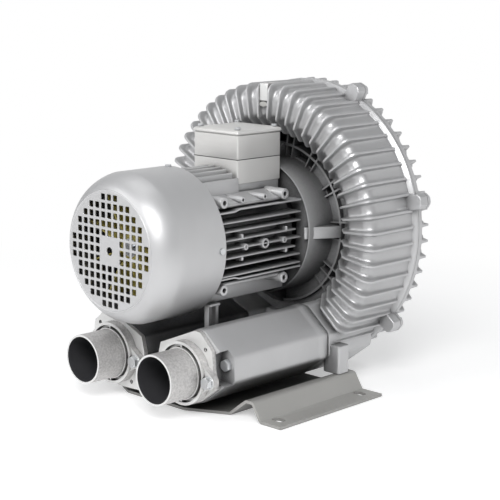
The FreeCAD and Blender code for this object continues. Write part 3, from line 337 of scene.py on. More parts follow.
def finned(name, low_line, high_line, tail, lowest, highest):
    """Fins round the channel between two angles: a point lies between the valley line and the crest line,
    nearer the crest where the angle from the fin's middle is small; the tail closes the section behind."""
    middles = pitch / 2 + pitch * np.arange(fin_count)
    angles = np.radians((middles[:, None] + offsets).ravel())
    turned_to = (np.degrees(angles) + 360 - lowest) % 360
    there = (turned_to < highest - lowest).astype(float)
    lift = np.tile(heights, fin_count) * there
    line = low_line[:, None, :] + (high_line - low_line)[:, None, :] * lift[None, :, None]
    tail = np.broadcast_to(tail[:, None, :], (len(tail), len(angles), 2))
    line = np.concatenate([line, tail])
    grid = np.stack([line[..., 0] * np.cos(angles), line[..., 1], axis_z + line[..., 0] * np.sin(angles)], -1)
    return swept(name, grid, looped=True, limit=38.0)


dress(finned("casing_fins", valley, crest, closing, -53.0, 233.0), "housing", "silver_paint", "blower_casing")
hub = spun("casing_hub", [(13, 98.5), (13, 97), (26, 97), (26, 82), (32, 82), (38, 97), (58.8, 97),
                          (59.4, 66.6), (60, 66), (82.4, 66), (84.2, 61), (84.9, 60.2), (85.6, 60.4),
                          (86, 62), (86, 118), (119, 118), (119, 122.5), (29, 122), (29, 107.5), (21, 107.5),
                          (21, 98.5)])
dress(hub, "housing", "silver_paint", "blower_casing", finish=in_shade)

# Sunk floor: depth by radius and angle, with a ring and radial ribs standing up and deep pockets between some
floor_y, pocket_y, rib_y, ring_y, under_y = 106.0, 117.0, 100.6, 100.4, 120.0
pocket_from, pocket_to, ring_radius, ring_half, rib_half = 88.5, 115.6, 102, 2.0, 0.85
right_ribs = [-45.0, -35.5, -28.7, -6.5, 6.5, 28.4, 34.8, 54.3, 60.8, 78.0, 84.0]
ribs = np.array(sorted(right_ribs + [180 - a for a in right_ribs]))
deep = [(28.4, 34.8), (54.3, 60.8), (60.8, 78.0), (78.0, 84.0), (84.0, 96.0), (-35.5, -28.7)]
deep += [(180 - b, 180 - a) for a, b in deep if a != 84.0]
steps = np.array([-1.6, -1.05, -0.8, -0.62, -0.4, 0.4, 0.62, 0.8, 1.05, 1.6])
angles = np.concatenate([(ribs[:, None] + steps).ravel(), np.arange(0, 360, 3.0)])
angles = np.unique(np.round(np.sort(angles % 360), 2))
radii = np.array([85.0, 88.2, 88.9, 94, 99.9, 100.5, 101.1, 102.9, 103.5, 104.1, 109, 115.2, 116, 119])
turn, reach = np.meshgrid(angles, radii)


def nearest(turn, places):
    """Smallest angle from each place in a list, in degrees."""
    return np.abs((turn[..., None] - places + 180) % 360 - 180).min(-1)


depth = np.full(turn.shape, floor_y)
for first, last in deep:
    inside = ((turn - first) % 360 < last - first) & (reach > pocket_from) & (reach < pocket_to)
    depth[inside] = pocket_y
rise = np.clip((rib_half - nearest(turn, ribs)) / 0.22, 0, 1)
depth = depth + (rib_y - depth) * rise
ridge = np.clip((ring_half - np.abs(reach - ring_radius)) / 0.5, 0, 1)
depth = depth + np.minimum(0, ring_y - depth) * ridge
top = np.stack([reach * np.cos(np.radians(turn)), depth, axis_z + reach * np.sin(np.radians(turn))], -1)
turn, reach = turn[[-1, 0]], reach[[-1, 0]]
under = np.stack([reach * np.cos(np.radians(turn)), 0 * reach + under_y,
                  axis_z + reach * np.sin(np.radians(turn))], -1)
sunk_floor = swept("casing_floor", np.concatenate([top, under]), looped=True, limit=28.0)
dress(sunk_floor, "housing", "silver_paint", "blower_casing", finish=in_shade)


# Ears of both half casings
# Square ears with cut corners, cast on the rims of both halves under the same enamel. A clamping bolt goes
# through each rear ear into the front one and draws the halves together.
ear_angles = 12.86 + 360 / 7 * np.arange(7)


def bolt_radius(angle):
    """Distance of an ear's bolt from the axis: the lowest ear and the one left of the terminal box sit
    further in."""
    return 179.0 if abs(angle - 270) < 10 or abs(angle - 116) < 10 else 189.0


def placed(outline, depth, x=0.0, z=0.0, side=1):
    """Row of points in mm from an (x, z) outline at a depth along Y; side -1 mirrors it."""
    return np.stack([x + side * outline[:, 0], np.full(len(outline), float(depth)), z + outline[:, 1]], -1)


def turned_rows(grid, angle):
    """Rows turned about the motor axis from +X towards +Z: x takes x times the cosine less z times the sine,
    and z takes x times the sine plus z times the cosine."""
    turn = math.radians(angle)
    x, z = grid[..., 0], grid[..., 2] - axis_z
    return np.stack([x * math.cos(turn) - z * math.sin(turn), grid[..., 1],
                     axis_z + x * math.sin(turn) + z * math.cos(turn)], -1)


def rounded(corners, radius, inset=0.0, steps=6):
    """Convex outline moved in by inset, each corner an arc of steps points, and three points along each side.
    A side's line keeps its normal and moves by inset; a moved corner is where two such lines cross; an arc
    is the weighted mean of its two ends and its corner, with the half angle's sine as the corner's weight."""
    corner = np.array(corners, float)
    centre = corner.mean(0)
    way = np.roll(corner, -1, 0) - corner
    way /= np.hypot(way[:, 0], way[:, 1])[:, None]
    normal = np.stack([way[:, 1], -way[:, 0]], -1)
    normal *= np.sign(((centre - corner) * normal).sum(1))[:, None]
    reach = (normal * corner).sum(1) + inset
    other, far = np.roll(normal, 1, 0), np.roll(reach, 1)
    cross = other[:, 0] * normal[:, 1] - other[:, 1] * normal[:, 0]
    moved = np.stack([(far * normal[:, 1] - reach * other[:, 1]) / cross,
                      (other[:, 0] * reach - normal[:, 0] * far) / cross], -1)
    t = np.linspace(0, 1, steps)[:, None]
    points = []
    for k in range(len(moved)):
        here, before, ahead = moved[k], moved[k - 1], moved[(k + 1) % len(moved)]
        one = (before - here) / np.linalg.norm(before - here)
        two = (ahead - here) / np.linalg.norm(ahead - here)
        half = math.acos(np.clip(one @ two, -1, 1)) / 2
        cut = min(radius / math.tan(half), 0.48 * np.linalg.norm(before - here),
                  0.48 * np.linalg.norm(ahead - here))
        start, end = here + one * cut, here + two * cut
        weight = math.sin(half)
        points.append(((1 - t) ** 2 * start + 2 * t * (1 - t) * weight * here + t ** 2 * end)
                      / ((1 - t) ** 2 + 2 * t * (1 - t) * weight + t ** 2))
        stop = ahead - (ahead - here) / np.linalg.norm(ahead - here) * cut
        points.append(np.linspace(end, stop, 5)[1:-1])
    return np.concatenate(points)


def ear_rows(angle, levels):
    """Ear from (inset, depth) levels: a block with cut outer corners that flares a little into the rim.
    Its outline is in (distance from the axis, distance to one side)."""
    past_bolt, cut_corner, edge_radius = 9.5, 4.2, 1.4
    top = bolt_radius(angle) + past_bolt
    flank = [(168.0, 11.6), (177.0, 9.8), (top - cut_corner, 9.5), (top, 5.0)]
    corners = [(r, -w) for r, w in flank] + flank[::-1]
    rows = [placed(rounded(corners, edge_radius, inset, 3), depth, 0, axis_z) for inset, depth in levels]
    return turned_rows(np.stack(rows), angle)


front_ears = [ear_rows(a, [(0, 155.4), (0, 143.2), (0.4, 142.1), (1.2, 141.5)]) for a in ear_angles]
dress(swept("casing_front_ears", *front_ears), "housing", "silver_paint", "blower_casing")
rear_ears = [ear_rows(a, [(0, 156.1), (0, 159.8), (0.35, 160.7), (1.0, 161)]) for a in ear_angles]
dress(swept("cover_ears", *rear_ears), "housing", "silver_paint", "casing_cover")


# Arms of the hub
# Four thick ribs of the front half, cast in one with it. Each slopes from the hub's front rim down to the
# ring in the sunk floor, to the right, above, to the left and below.
def arm_rows(angle):
    """Rows across one arm: its (distance from the axis, y) outline, drawn in a little at both faces."""
    outline = [(77.2, 58.7), (80, 58.7), (104.3, 99.6), (104.3, 108), (77.2, 108)]
    rows = []
    for inset, across_arm in [(0.9, -7.5), (0.25, -7.2), (0, -6.6), (0, 6.6), (0.25, 7.2), (0.9, 7.5)]:
        flat = rounded(outline, 1.6, inset)
        rows.append(np.column_stack([flat, np.full(len(flat), axis_z + across_arm)]))
    return turned_rows(np.stack(rows), angle)


arms = [arm_rows(angle) for angle in (0, 90, 180, 270)]
dress(swept("casing_arms", *arms), "housing", "silver_paint", "blower_casing", finish=in_shade)


# Channel casing, rear half
# Die-cast cover under the same enamel: a half-round channel with small fins that step down behind the rim,
# and a flat middle with eight ribs round a low boss.
rear_valley = np.concatenate([[(182, 156), (182, 161.8), (181.6, 162.6), (180.6, 163.0)],
                              run((178, 163.2), (171, 163.6), 4), arc(170.6, 165.8, 2.2, 260, 185, 4),
                              arc(143, 170, 25.5, 2, 178, 30),
                              [(117.4, 169.6), (116.9, 168.9), (116, 168.4), (114.6, 168.2)]])
rear_crest = np.concatenate([[(182, 156), (182, 161.8), (182.4, 163.2), (182.7, 165)],
                             run((182.7, 167), (182.7, 173.4), 4),
                             [(182.5, 174.5), (181.7, 175.4), (178.6, 176.8), (174.5, 178.5)],
                             run((171.4, 180), (164.5, 188.6), 4), arc(143, 170, 28.5, 44, 178, 26),
                             [(114.5, 170.2), (114.5, 169.4), (114.5, 168.8), (114.5, 168.2)]])
rear_closing = np.array([(111, 168.2), (111, 159.1), (164.6, 159.1), (164.6, 156)])
dress(finned("cover_fins", rear_valley, rear_crest, rear_closing, 0.0, 360.0),
      "housing", "silver_paint", "casing_cover")
middle = spun("cover_middle", [(0.05, 176), (41, 176), (43.2, 175.3), (44.4, 173.6), (46.8, 169.2),
                               (48.6, 168.2), (112, 168.2), (112, 160), (102, 159.1), (102, 166.1),
                               (0.05, 166.1)], columns=144)
dress(middle, "housing", "silver_paint", "casing_cover")

# A rib's rows as (depth, half thickness): it narrows from the cover up to its edge
rib_from, rib_to = 42, 121
rib = np.stack([placed(np.array([(rib_from, -t), (rib_to, -t), (rib_to, t), (rib_from, t)]), depth, 0, axis_z)
                for depth, t in ((168.0, 2.1), (169.2, 1.5), (174.4, 1.3), (175.0, 0.9))])
cover_ribs = swept("cover_ribs", *[turned_rows(rib, 45 * k) for k in range(8)])
dress(cover_ribs, "housing", "silver_paint", "casing_cover")


# Port blocks and silencers
# Rounded aluminium castings in silver enamel, side by side under the motor. Each silencer is a body round a
# perforated air passage, pulled against the casing's port block by a long bolt in a pocket at its front.
port_x, port_z = 62.8, 51.7
ports = (("left", -port_x, -1), ("right", port_x, 1))
block_section = [(-51, 8), (-46, 27), (13, 53), (22, 52.5), (57, 23), (58, -7), (22, -34), (-4, -43.5),
                 (-40, -42), (-50, -14)]


def bored(radius, levels, bore, side, x, pocket=None):
    """Rows of a block about a port's axis: out along its outline at each (inset, depth), back along its bore,
    whose points lie in the same directions. pocket = (in to, lowest, highest, depth): the outer corner is cut
    away in front of that depth."""
    rows = []
    for inset, depth in levels:
        edge = rounded(block_section, radius, inset)
        if pocket:
            cut_to, lowest, highest, pocket_end = pocket
            if depth <= pocket_end:
                edge[(edge[:, 1] > lowest) & (edge[:, 1] < highest) & (edge[:, 0] > cut_to), 0] = cut_to
        rows.append(placed(edge, depth, x, port_z, side))
    spot = rounded(block_section, radius)
    spot = spot / np.hypot(spot[:, 0], spot[:, 1])[:, None]
    rows += [placed(spot * bore, depth, x, port_z, side) for depth in (levels[-1][1], levels[0][1])]
    return np.stack(rows)


silencer_levels = [(1.6, -119.6), (0.5, -119.1), (0, -118), (0, -105.75), (0, -105.7), (0, 40), (-0.3, 43),
                   (-1.3, 46), (-1.5, 50), (-1.3, 54), (-0.2, 57.5), (1.0, 59.6), (2.0, 60.4)]
tie_pocket = (36.5, -8, 27.5, -105.74)
for name, x, side in ports:
    body = swept(name + "_silencer_casting", bored(8.0, silencer_levels, 22.2, side, x, tie_pocket),
                 looped=True, limit=30.0)
    dress(body, "housing", "box_paint", name + "_silencer_body", finish=in_shade)
block_levels = [(2.4, 61.6), (0.9, 62.2), (0, 64), (0, 120), (0, 144), (2.5, 147.6)]
blocks = [bored(9.0, block_levels, 22.0, side, x) for name, x, side in ports]
dress(swept("casing_port_blocks", *blocks, looped=True, limit=30.0),
      "housing", "silver_paint", "blower_casing")


def upright(x0, x1, y0, y1, radius, levels):
    """Rows of a rounded rectangular post that stands along Z; levels are (inset, height)."""
    outlines = [(rounded([(x0, y0), (x1, y0), (x1, y1), (x0, y1)], radius, inset), z) for inset, z in levels]
    return np.stack([np.column_stack([outline, np.full(len(outline), z)]) for outline, z in outlines])


legs = [upright(x0, x1, 63.5, 83.5, 3.0, [(0.8, 23.5), (0, 24.3), (0, 58), (0.8, 59)])
        for x0, x1 in ((-135, -109), (109, 135))]
dress(swept("casing_legs", *legs), "housing", "silver_paint", "blower_casing")


# Lifting boss
# Block cast on the casing for a lifting eye, which fills the valley between the two top fins. Its faces are
# machined bare, and under it a dark oval plug closes the hole in the casing.

# Bare blasted aluminium, of this boss and of the port plates: a mottled matt grey. The grit's dimples, about
# 0.3 mm across, are too fine to show, so the bump is drawn 0.9 mm and the mottling 2.4 mm coarse. Faces that
# look forward are milled, bright and even. Recesses get a painted shade from faces within 22 mm, and the
# ports' bores a painted shade of dark grey.
coat("raw_casting", surface("raw_blasted_aluminium", "#F0EEED", "#A5A3A2", metal=0.55, rough=0.48,
                            grain_mm=0.9, grain=0.8, cloud_mm=2.4, shade=0.9, reach_mm=22.0,
                            faced="#E2E2E1", bore=(port_x, port_z, 27.7)))

# Grey enamel on pressed sheet, of this plug and of the foot plate: darker and flatter than on a casting, with
# a painted shade in recesses, from faces as far as 30 mm away
coat("painted_steel", surface("grey_enamel_on_pressed_sheet", "#BBBAB7", "#AEADAA", metal=0.45, rough=0.45,
                              grain_mm=1.2, grain=0.12, shade=0.75))

boss = upright(-7.3, 6.3, 67.6, 96, 1.2, [(0.9, 351.6), (0.3, 352.0), (0, 352.8), (0, 372.6), (0.3, 373.5),
                                          (0.9, 374.0)])
dress(swept("casing_top_boss", boss), "housing", "silver_paint", "blower_casing",
      finish=finishes["raw_casting"])
plug_x, plug_z, plug_half_width, plug_half_height = -0.6, 347.4, 7.0, 3.5
turn = np.linspace(0, 2 * np.pi, 36, endpoint=False)
oval = np.column_stack([plug_half_width * np.cos(turn), plug_half_height * np.sin(turn)])
plug = np.stack([placed(oval * size, depth, plug_x, plug_z)
                 for size, depth in ((1, 80), (1, 68.1), (0.94, 67.4), (0.8, 67.0))])
dress(swept("casing_boss_plug", plug), "housing", "silver_paint", "blower_casing",
      finish=finishes["painted_steel"])


# Terminal box
# Die-cast base, screwed on the motor frame, and a deep lid, both in a warmer grey enamel. The lid has a wider
# rim with a low crown and four screws, and a groove shows between it and the base.

# Grey enamel, sprayed on the casting: lighter and warmer than the silver one, with less metal in its shine,
# and a painted shade in recesses, from faces as far as 30 mm away
coat("box_paint", surface("grey_enamel_on_casting", "#E2E1DF", "#D8D7D5", metal=0.4, rough=0.42,
                          grain_mm=1.2, grain=0.2, shade=0.8))

box_sides = (-37.4, 37.4, -17.7, 59.2)
base = upright(*box_sides, 1.9, [(0, 258.4), (0, 287.1), (0.3, 287.5)])
dress(swept("box_base_casting", base), "housing", "silver_paint", "terminal_box_base",
      finish=finishes["box_paint"])
crown = [(0.3, 287.7), (0, 288.1), (0, 316.4), (0.9, 316.8), (0.9, 317.9), (-1.2, 318.3), (-1.2, 320.4),
         (-0.6, 321.6), (0.9, 322.6), (3.4, 323.3), (9, 323.9), (18, 324.2), (28, 324.4)]
dress(swept("box_lid_casting", upright(*box_sides, 2.2, crown), limit=50.0),
      "housing", "box_paint", "terminal_box_lid")


# Fan cowl
# Deep-drawn sheet cap in silver enamel, pushed over the frame's front end and screwed to it. It has a rounded
# shoulder and a punched face of square holes round a plain middle.
def bend(start, middle, end, count):
    """Smooth curve through three points: a parabola whose pull point makes it pass through the middle one."""
    start, middle, end = map(np.array, (start, middle, end))
    pull = 2 * middle - (start + end) / 2
    t = np.linspace(0, 1, count)[:, None]
    return (1 - t) ** 2 * start + 2 * t * (1 - t) * pull + t ** 2 * end


outer = np.concatenate([[(67.6, -188.8), (68.6, -188.8)], arc(70.3, -188.2, 1.2, 215, 330, 7),
                        bend((71.6, -188.2), (83.0, -176.6), (89.6, -158.5), 16),
                        run((89.6, -152), (89.6, -90), 5),
                        [(89.5, -88.8), (89.2, -88.4), (88.4, -88.4), (88.0, -88.7)]])
inner = np.concatenate([run((87.8, -90), (87.8, -152), 5),
                        bend((87.8, -157.8), (81.2, -175.7), (70.4, -186.6), 16), [(67.6, -187.2)]])
cowl = spun("cowl_cap", np.concatenate([outer, inner]), columns=256, limit=30.0)
# The cowl takes the enamel with deep painted shade, which makes its inside and underside dark
dress(cowl, "housing", "silver_paint", "fan_cowl", finish=in_shade)

# Punched face: a disc of sheet cut along the hole outlines. Holes stand on a square grid, none in the middle
# nine cells, and as far out as hole_reach cells.
hole_pitch, hole_half, hole_corner, hole_reach = 10.4, 3.6, 0.9, 6.2
disc_radius, centre_hole, face_y, inner_y = 68.4, 5.0, -188.78, -187.1
cells = np.array([(i, j) for i in range(-6, 7) for j in range(-6, 7)
                  if max(abs(i), abs(j)) > 1 and math.hypot(i, j) <= hole_reach])
square = rounded([(-hole_half, -hole_half), (hole_half, -hole_half), (hole_half, hole_half),
                  (-hole_half, hole_half)], hole_corner, steps=3)
square = square.reshape(4, 6, 2)[:, :3].reshape(-1, 2)
around = np.linspace(0, 2 * np.pi, 129)[:-1]
ring = np.stack([np.cos(around), np.sin(around)], -1)
loops = [ring * disc_radius, ring[::6] * centre_hole] + [square + hole_pitch * cell for cell in cells]
edges, base = [], 0
for loop in loops:
    edges += [(base + k, base + (k + 1) % len(loop)) for k in range(len(loop))]
    base += len(loop)
spots = [Vector(spot) for spot in np.concatenate(loops)]
flat, _, faces, _, _, _ = delaunay_2d_cdt(spots, edges, [], 0, 1e-5)
flat = np.array([tuple(point) for point in flat])

# Only the triangles between the holes and the two circles stay
middles = np.array([flat[list(face)].mean(0) for face in faces])
near = np.round(middles / hole_pitch)
in_hole = ((np.abs(middles - hole_pitch * near).max(1) < hole_half - 0.01) & (np.abs(near).max(1) > 1)
           & (np.hypot(near[:, 0], near[:, 1]) <= hole_reach))
from_middle = np.hypot(middles[:, 0], middles[:, 1])
kept = [list(face) for face, hole, r in zip(faces, in_hole, from_middle)
        if not hole and centre_hole - 0.05 < r < disc_radius + 0.05]
count = len(flat)
points = np.concatenate([np.column_stack([flat[:, 0], np.full(count, y), axis_z + flat[:, 1]])
                         for y in (face_y, inner_y)])
sides = dict.fromkeys((a, b) for face in kept for a, b in zip(face, face[1:] + face[:1]))
rim = [(a, b) for a, b in sides if (b, a) not in sides]
shell = (kept + [[k + count for k in reversed(face)] for face in kept]
         + [[b, a, a + count, b + count] for a, b in rim])
a, b, c = (flat[k] for k in kept[0][:3])
if np.cross(b - a, c - a) < 0:
    shell = [face[::-1] for face in shell]


def soften(piece, width):
    """Rounds the edges of a piece by width in mm."""
    bevel = piece.modifiers.new("rounded_edges", "BEVEL")
    bevel.width, bevel.segments = width * MM, 2
    bevel.limit_method, bevel.angle_limit = "ANGLE", math.radians(35.0)
    bevel.harden_normals = False
    return piece


grille = mesh_piece("cowl_grille", points, shell, 30.0)
dress(soften(grille, 0.35), "housing", "silver_paint", "fan_cowl")


# Motor frame
# Die-cast aluminium tube under the same silver enamel, with cooling fins on four sides. Low shelves cover its
# corners, with tapped bosses along them, and the top fins in front of the terminal box follow a round crown.
def lying(y0, y1, z0, z1, radius, levels, side):
    """Rows of a rounded rectangle across X, z from the axis; levels are (inset, distance from the middle)."""
    outlines = [(rounded([(y0, z0), (y1, z0), (y1, z1), (y0, z1)], radius, inset), x) for inset, x in levels]
    return np.stack([np.column_stack([np.full(len(outline), side * float(x)), outline])
                     for outline, x in outlines]) + (0, 0, axis_z)


def tapped_boss(y, z, side, radius, hole, low=48.0):
    """Round boss across X with a rounded mouth and a blind hole; levels are (radius, distance from the
    middle), from low inside the frame out to the boss's face and back in to the hole's end."""
    turn = np.linspace(0, 2 * np.pi, 40, endpoint=False)
    levels = [(radius, low), (radius, 72.9), (radius - 0.3, 73.5), (radius - 0.9, 73.8),
              (hole + 0.6, 73.8), (hole, 73.3), (hole, 62.0)]
    return np.stack([np.column_stack([np.full(len(turn), side * x), y + r * np.cos(turn),
                                      axis_z + z + r * np.sin(turn)]) for r, x in levels])


# Fins are 2.3 mm thick and 10.6 mm apart; the middle side fin lies 4.7 mm under the axis
fin_step, fin_half, side_drop, fin_front, fin_back = 10.6, 1.15, 4.7, -92, 59.6
side_tip = [(-0.35, 50), (0, 71.6), (0.3, 72.3), (0.75, 72.75)]
shelf = [(40, 40), (66.8, 44.2), (68.5, 46), (68.5, 49), (43.5, 56), (40, 56)]
shelf_levels = [(0, -90.0), (0, 34.5), (0.5, 36.0), (1.6, 36.8)]

# Round bosses with blind holes, in four sizes
corner_boss = {"radius": 6.6, "hole": 2.9, "low": 42.0}
upper_boss = {"radius": 3.8, "hole": 1.8, "low": 45.0}
side_boss, middle_boss = {"radius": 4.0, "hole": 1.8}, {"radius": 6.2, "hole": 3.8}

# The last side fin above and below bows out behind the front bosses, as (y, distance from the axis)
bowed = ((-92, 39.4), (-58, 39.4), (-55, 39.9), (-51, 41.2), (-48, 41.7), (58.8, 41.7), (59.6, 41.7))
bar = rounded([(50, -fin_half), (72.8, -fin_half), (72.8, fin_half), (50, fin_half)], 1.0)
parts = []
for side in (-1, 1):
    for k in range(-3, 4):
        z = fin_step * k - side_drop
        gap = 9.0 if abs(k) == 1 else 0.0
        parts.append(lying(fin_front + gap, fin_back - gap, z - fin_half, z + fin_half, 1.0, side_tip, side))
    for up in (1, -1):
        parts.append(np.stack([placed(bar, y, 0, axis_z + up * z, side) for y, z in bowed]))
        parts.append(np.stack([placed(rounded(shelf, 1.6, inset) * (1, up), y, 0, axis_z, side)
                               for inset, y in shelf_levels]))
        parts += [tapped_boss(y, up * 51.9, side, **corner_boss) for y in (-75.4, 29.0)]
        stub = sorted((up * fin_step - side_drop, up * 16.1 - side_drop))
        parts += [lying(y - 1.7, y + 1.7, *stub, 0.8, side_tip, side) for y in (-43.8, 34.0)]
    parts += [tapped_boss(y, 52.3, side, **upper_boss) for y in (-44.2, -6.3)]
    parts += [tapped_boss(y, -side_drop, side, **size)
              for y, size in ((-38.5, side_boss), (-4.5, middle_boss), (29.5, side_boss))]

# Fins below, and fins above up to the crown, whose ends in front of the terminal box's foot step forward
crown_radius = 84.5
for k in range(-4, 5):
    x = fin_step * k
    parts.append(upright(x - fin_half, x + fin_half, fin_front, fin_back, 1.0,
                         [(0.75, 121.25), (0.3, 121.7), (0, 122.4), (-0.35, 144)]))
    crown = axis_z + math.sqrt(crown_radius ** 2 - x ** 2)
    parts.append(upright(x - fin_half, x + fin_half, fin_front, -19 - 0.6 * abs(k), 1.0,
                         [(-0.35, 244), (0, crown - 1.15), (0.3, crown - 0.45), (0.75, crown)]))
box_foot = upright(-36.9, 36.9, -17.2, 58.7, 4.0, [(0, 240), (0, 258.35)])
parts.append(box_foot)
dress(swept("frame_fins", *parts), "housing", "silver_paint", "motor_frame")
# The frame's tube takes the enamel with deep painted shade, so the gaps between the fins look dark
core = spun("frame_core", [(55.2, -99.8), (58, -99.8), (58, 59.9), (55.2, 59.9)], columns=144)
dress(core, "housing", "silver_paint", "motor_frame", finish=in_shade)


# Foot plate
# Pressed steel sheet in grey enamel, with two ridges and slotted flanges, bolted under the casing's legs. Its
# drawn shape is right, so only its bent edges are rounded here.
def copied(node, width, finish=None):
    """Merged copy of a CAD node with its edges rounded by width in mm."""
    work = bmesh.new()
    work.from_mesh(frame["nodes"][node].data)
    bmesh.ops.remove_doubles(work, verts=work.verts, dist=1e-6)
    bmesh.ops.dissolve_limit(work, angle_limit=math.radians(1.0), verts=work.verts, edges=work.edges)
    mesh = bpy.data.meshes.new(node + "_rounded")
    work.to_mesh(mesh)
    work.free()
    mesh.shade_smooth()
    mesh.set_sharp_from_angle(angle=math.radians(35.0))
    piece = bpy.data.objects.new(node + "_rounded", mesh)
    bpy.context.scene.collection.objects.link(piece)
    slot = next(row["material_slot"] for row in frame["record"]["subparts"] if row["node"] == node)
    return dress(soften(piece, width), "housing", slot, node, finish=finish)


copied("foot_plate", 0.7)


# Port tubes, end plates, their screws, and motor supports
# A port tube with its flange is cast and turned, and bolted on a cast end plate in front of each silencer.
# Both are bare metal. Painted posts on the silencers carry the motor's front. All keep their drawn shape.

# Blackened socket screws, sunk in the end plates: near black with a dull shine. The near black is partly
# their black finish and partly a painted shade that stands for the dark holes they sit in.
blackened = surface("black_screws_with_painted_hole_shade", "#2B2B2D", "#202022", metal=0.8, rough=0.4,
                    grain_mm=0.8, grain=0.1)
for name, x, side in ports:
    copied(name + "_port_flange", 0.6)
    copied(name + "_silencer_end_plate", 0.7)
    copied(name + "_motor_support", 0.8)
    copied(name + "_plate_screws", 0.3, blackened)


# Bolts
# Zinc-plated steel bolts with chamfered hexagon heads: two with washers in each port flange, a long one
# through each silencer, and one in each ear of the casing.

# Bright zinc plating: a light, slightly blue metal shine, a little cloudy. Its crystals are too fine to show,
# so the bump is drawn 1 mm coarse. A painted shade darkens it where other faces are within 9 mm.
coat("zinc_steel", surface("zinc_plated_steel", "#DDDFE1", "#CBCDCF", metal=0.75, rough=0.28,
                           grain_mm=1.0, grain=0.1, shade=0.85, reach_mm=9.0))


def bolt_grid(x, z, head_y, end_y, radius, washer):
    """Rows along a bolt: shank, washer under the head, hexagon with a chamfered crown. The hexagon's radius
    is its half width across flats over the cosine of the angle from the middle of the nearest flat."""
    way = -1 if end_y > head_y else 1
    half_width, high, washer_thick = 1.6 * radius, 1.3 * radius, 1.3
    turn = np.linspace(0, 2 * np.pi, 48, endpoint=False)
    flats = half_width / np.cos((turn + np.pi / 6) % (np.pi / 3) - np.pi / 6)
    circle = np.ones(len(turn))
    levels = [(circle * radius * 0.8, end_y), (circle * radius, end_y + way * 0.8), (circle * radius, head_y)]
    top = head_y
    if washer:
        top = head_y + way * washer_thick
        levels += [(circle * washer, head_y), (circle * washer, head_y + way * 1.1),
                   (circle * washer * 0.97, top)]
    levels += [(flats, top), (flats, top + way * (high - 0.9)),
               (np.minimum(flats, 1.72 * radius), top + way * (high - 0.45)),
               (circle * 1.5 * radius, top + way * high), (circle * 0.6 * radius, top + way * high)]
    return np.stack([np.column_stack([x + size * np.cos(turn), np.full(len(turn), depth),
                                      z + size * np.sin(turn)]) for size, depth in levels])


# Each bolt's face under its head and the end of its shank, along Y
shank, flange_washer, no_washer = 4.0, 7.6, 0
flange_bolt, tie_bolt, rim_bolt = (-133.5, -120.7), (-105.7, 75.5), (161.0, 144.5)
for name, x, side in ports:
    pair = [bolt_grid(x + s * 43, port_z - s * 3, *flange_bolt, shank, flange_washer) for s in (-1, 1)]
    dress(swept(name + "_flange_bolts", *pair, limit=25.0), "housing", "zinc_steel", name + "_port_bolts")
    tie = bolt_grid(x + side * 46, port_z + 13, *tie_bolt, shank, no_washer)
    dress(swept(name + "_tie_bolt", tie, limit=25.0), "housing", "zinc_steel", name + "_silencer_tie_bolt")
rear_bolts = [turned_rows(bolt_grid(bolt_radius(a), axis_z, *rim_bolt, shank, no_washer), a)
              for a in ear_angles]
dress(swept("rim_bolts", *rear_bolts, limit=25.0), "housing", "zinc_steel", "casing_bolts")


# Stator and rotor
# Stacks of electrical sheet: the stator's is pressed into the frame and carries the copper windings, and the
# rotor's sits with cast end rings on a ground shaft. They keep their drawn shape, as all pieces below do.

# Electrical sheet: dull dark grey, with a roughness as fine as its 0.5 mm sheets
coat("lamination_steel", surface("stacked_electrical_sheet", "#4A4A4D", "#3A3A3C", metal=0.8, rough=0.5,
                                 grain_mm=0.5, grain=0.3))

# Varnished copper wire of about 1 mm: red brown, with a glossy ripple
coat("copper_winding", surface("varnished_copper_wire", "#B5623A", "#8C4526", metal=0.8, rough=0.35,
                               grain_mm=1.0, grain=0.5))

# Ground steel: an even, fairly sharp shine. Grinding marks are too fine to show and are drawn 0.8 mm coarse.
coat("shaft_steel", surface("ground_steel", "#B5B7BA", "#A5A7AA", metal=1.0, rough=0.25,
                            grain_mm=0.8, grain=0.1))

# Impeller and end rings, cast and turned aluminium: light, with a soft shine over faint tool marks, which are
# drawn 2 mm coarse to show. A painted shade, from faces as far as 90 mm away, makes it nearly black deep
# between the blades.
coat("cast_aluminium", surface("machined_aluminium", "#C8C9CB", "#BDBEC0", metal=1.0, rough=0.32,
                               grain_mm=2.0, grain=0.1, shade=0.95, reach_mm=90.0))
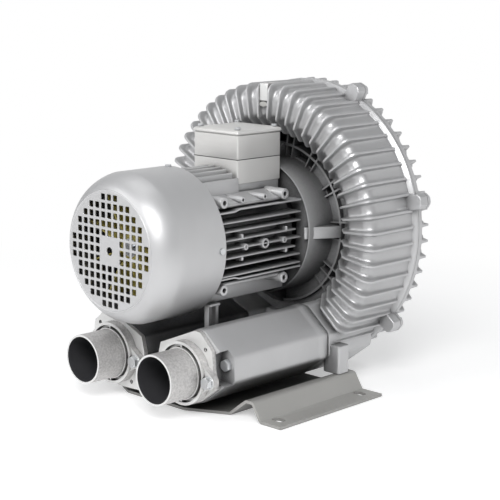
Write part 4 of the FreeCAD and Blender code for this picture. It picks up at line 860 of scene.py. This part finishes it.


# Cooling fan
# One moulding of olive yellow nylon, clipped on the shaft's front end behind the grille. Its skin is satin,
# with the faint flow marks of a moulding, and a painted shade darkens it quickly between the blades.
coat("fan_plastic", surface("moulded_nylon_fan", "#D8CB78", "#B8AA58", metal=0.0, rough=0.45,
                            grain_mm=1.2, grain=0.1, shade=0.8, reach_mm=14.0))


# Bearings
# Races, balls, wave spring and fan clip in hardened and polished steel, pressed on the shaft and into the end
# shields. It shines like a mirror with a slight blur; its marks are drawn 0.8 mm coarse.
coat("bearing_steel", surface("polished_bearing_steel", "#CACCD0", "#BEC0C4", metal=1.0, rough=0.15,
                              grain_mm=0.8, grain=0.03))


# Terminal board, studs and cable gland
# A moulded phenolic board with turned brass studs, screwed into the box, and a moulded nylon gland in its
# side. Phenolic is nearly black with a dull shine, brass yellow and bright, and nylon black and softer.
coat("board_plastic", surface("moulded_phenolic", "#2A2A2A", "#222222", metal=0.0, rough=0.4,
                              grain_mm=0.8, grain=0.2))
coat("stud_brass", surface("turned_brass", "#C9A85C", "#B3924A", metal=1.0, rough=0.25,
                           grain_mm=0.6, grain=0.05))
coat("gland_plastic", surface("moulded_black_nylon", "#2B2B2C", "#232324", metal=0.0, rough=0.42,
                              grain_mm=0.8, grain=0.2))


# Seals and gaskets
# A nitrile rubber seal pressed in round the shaft and a rubber gasket under the lid, and fibre gaskets cut
# from pressed sheet for the casing and silencers. Rubber is black and matt, and fibre brown grey and dry.
coat("seal_rubber", surface("moulded_nitrile_rubber", "#1D1D1D", "#171717", metal=0.0, rough=0.6,
                            grain_mm=0.8, grain=0.2))
coat("seal_paper", surface("pressed_fibre_sheet", "#6B675C", "#5D594F", metal=0.0, rough=0.75,
                           grain_mm=0.6, grain=0.3))


# Silencer lining
# A sleeve of open-cell foam round a perforated tube of galvanised sheet, pushed into each silencer's body.
# Foam is dark and rough with 1.5 mm cells, and the zinc on the sheet has dull spangles 3 mm across.
coat("foam", surface("open_cell_foam", "#2E2E2E", "#1F1F1F", metal=0.0, rough=0.95, grain_mm=1.5, grain=1.0))
coat("liner_steel", surface("galvanised_sheet", "#9C9DA0", "#86878A", metal=1.0, rough=0.4,
                            grain_mm=3.0, grain=0.1))
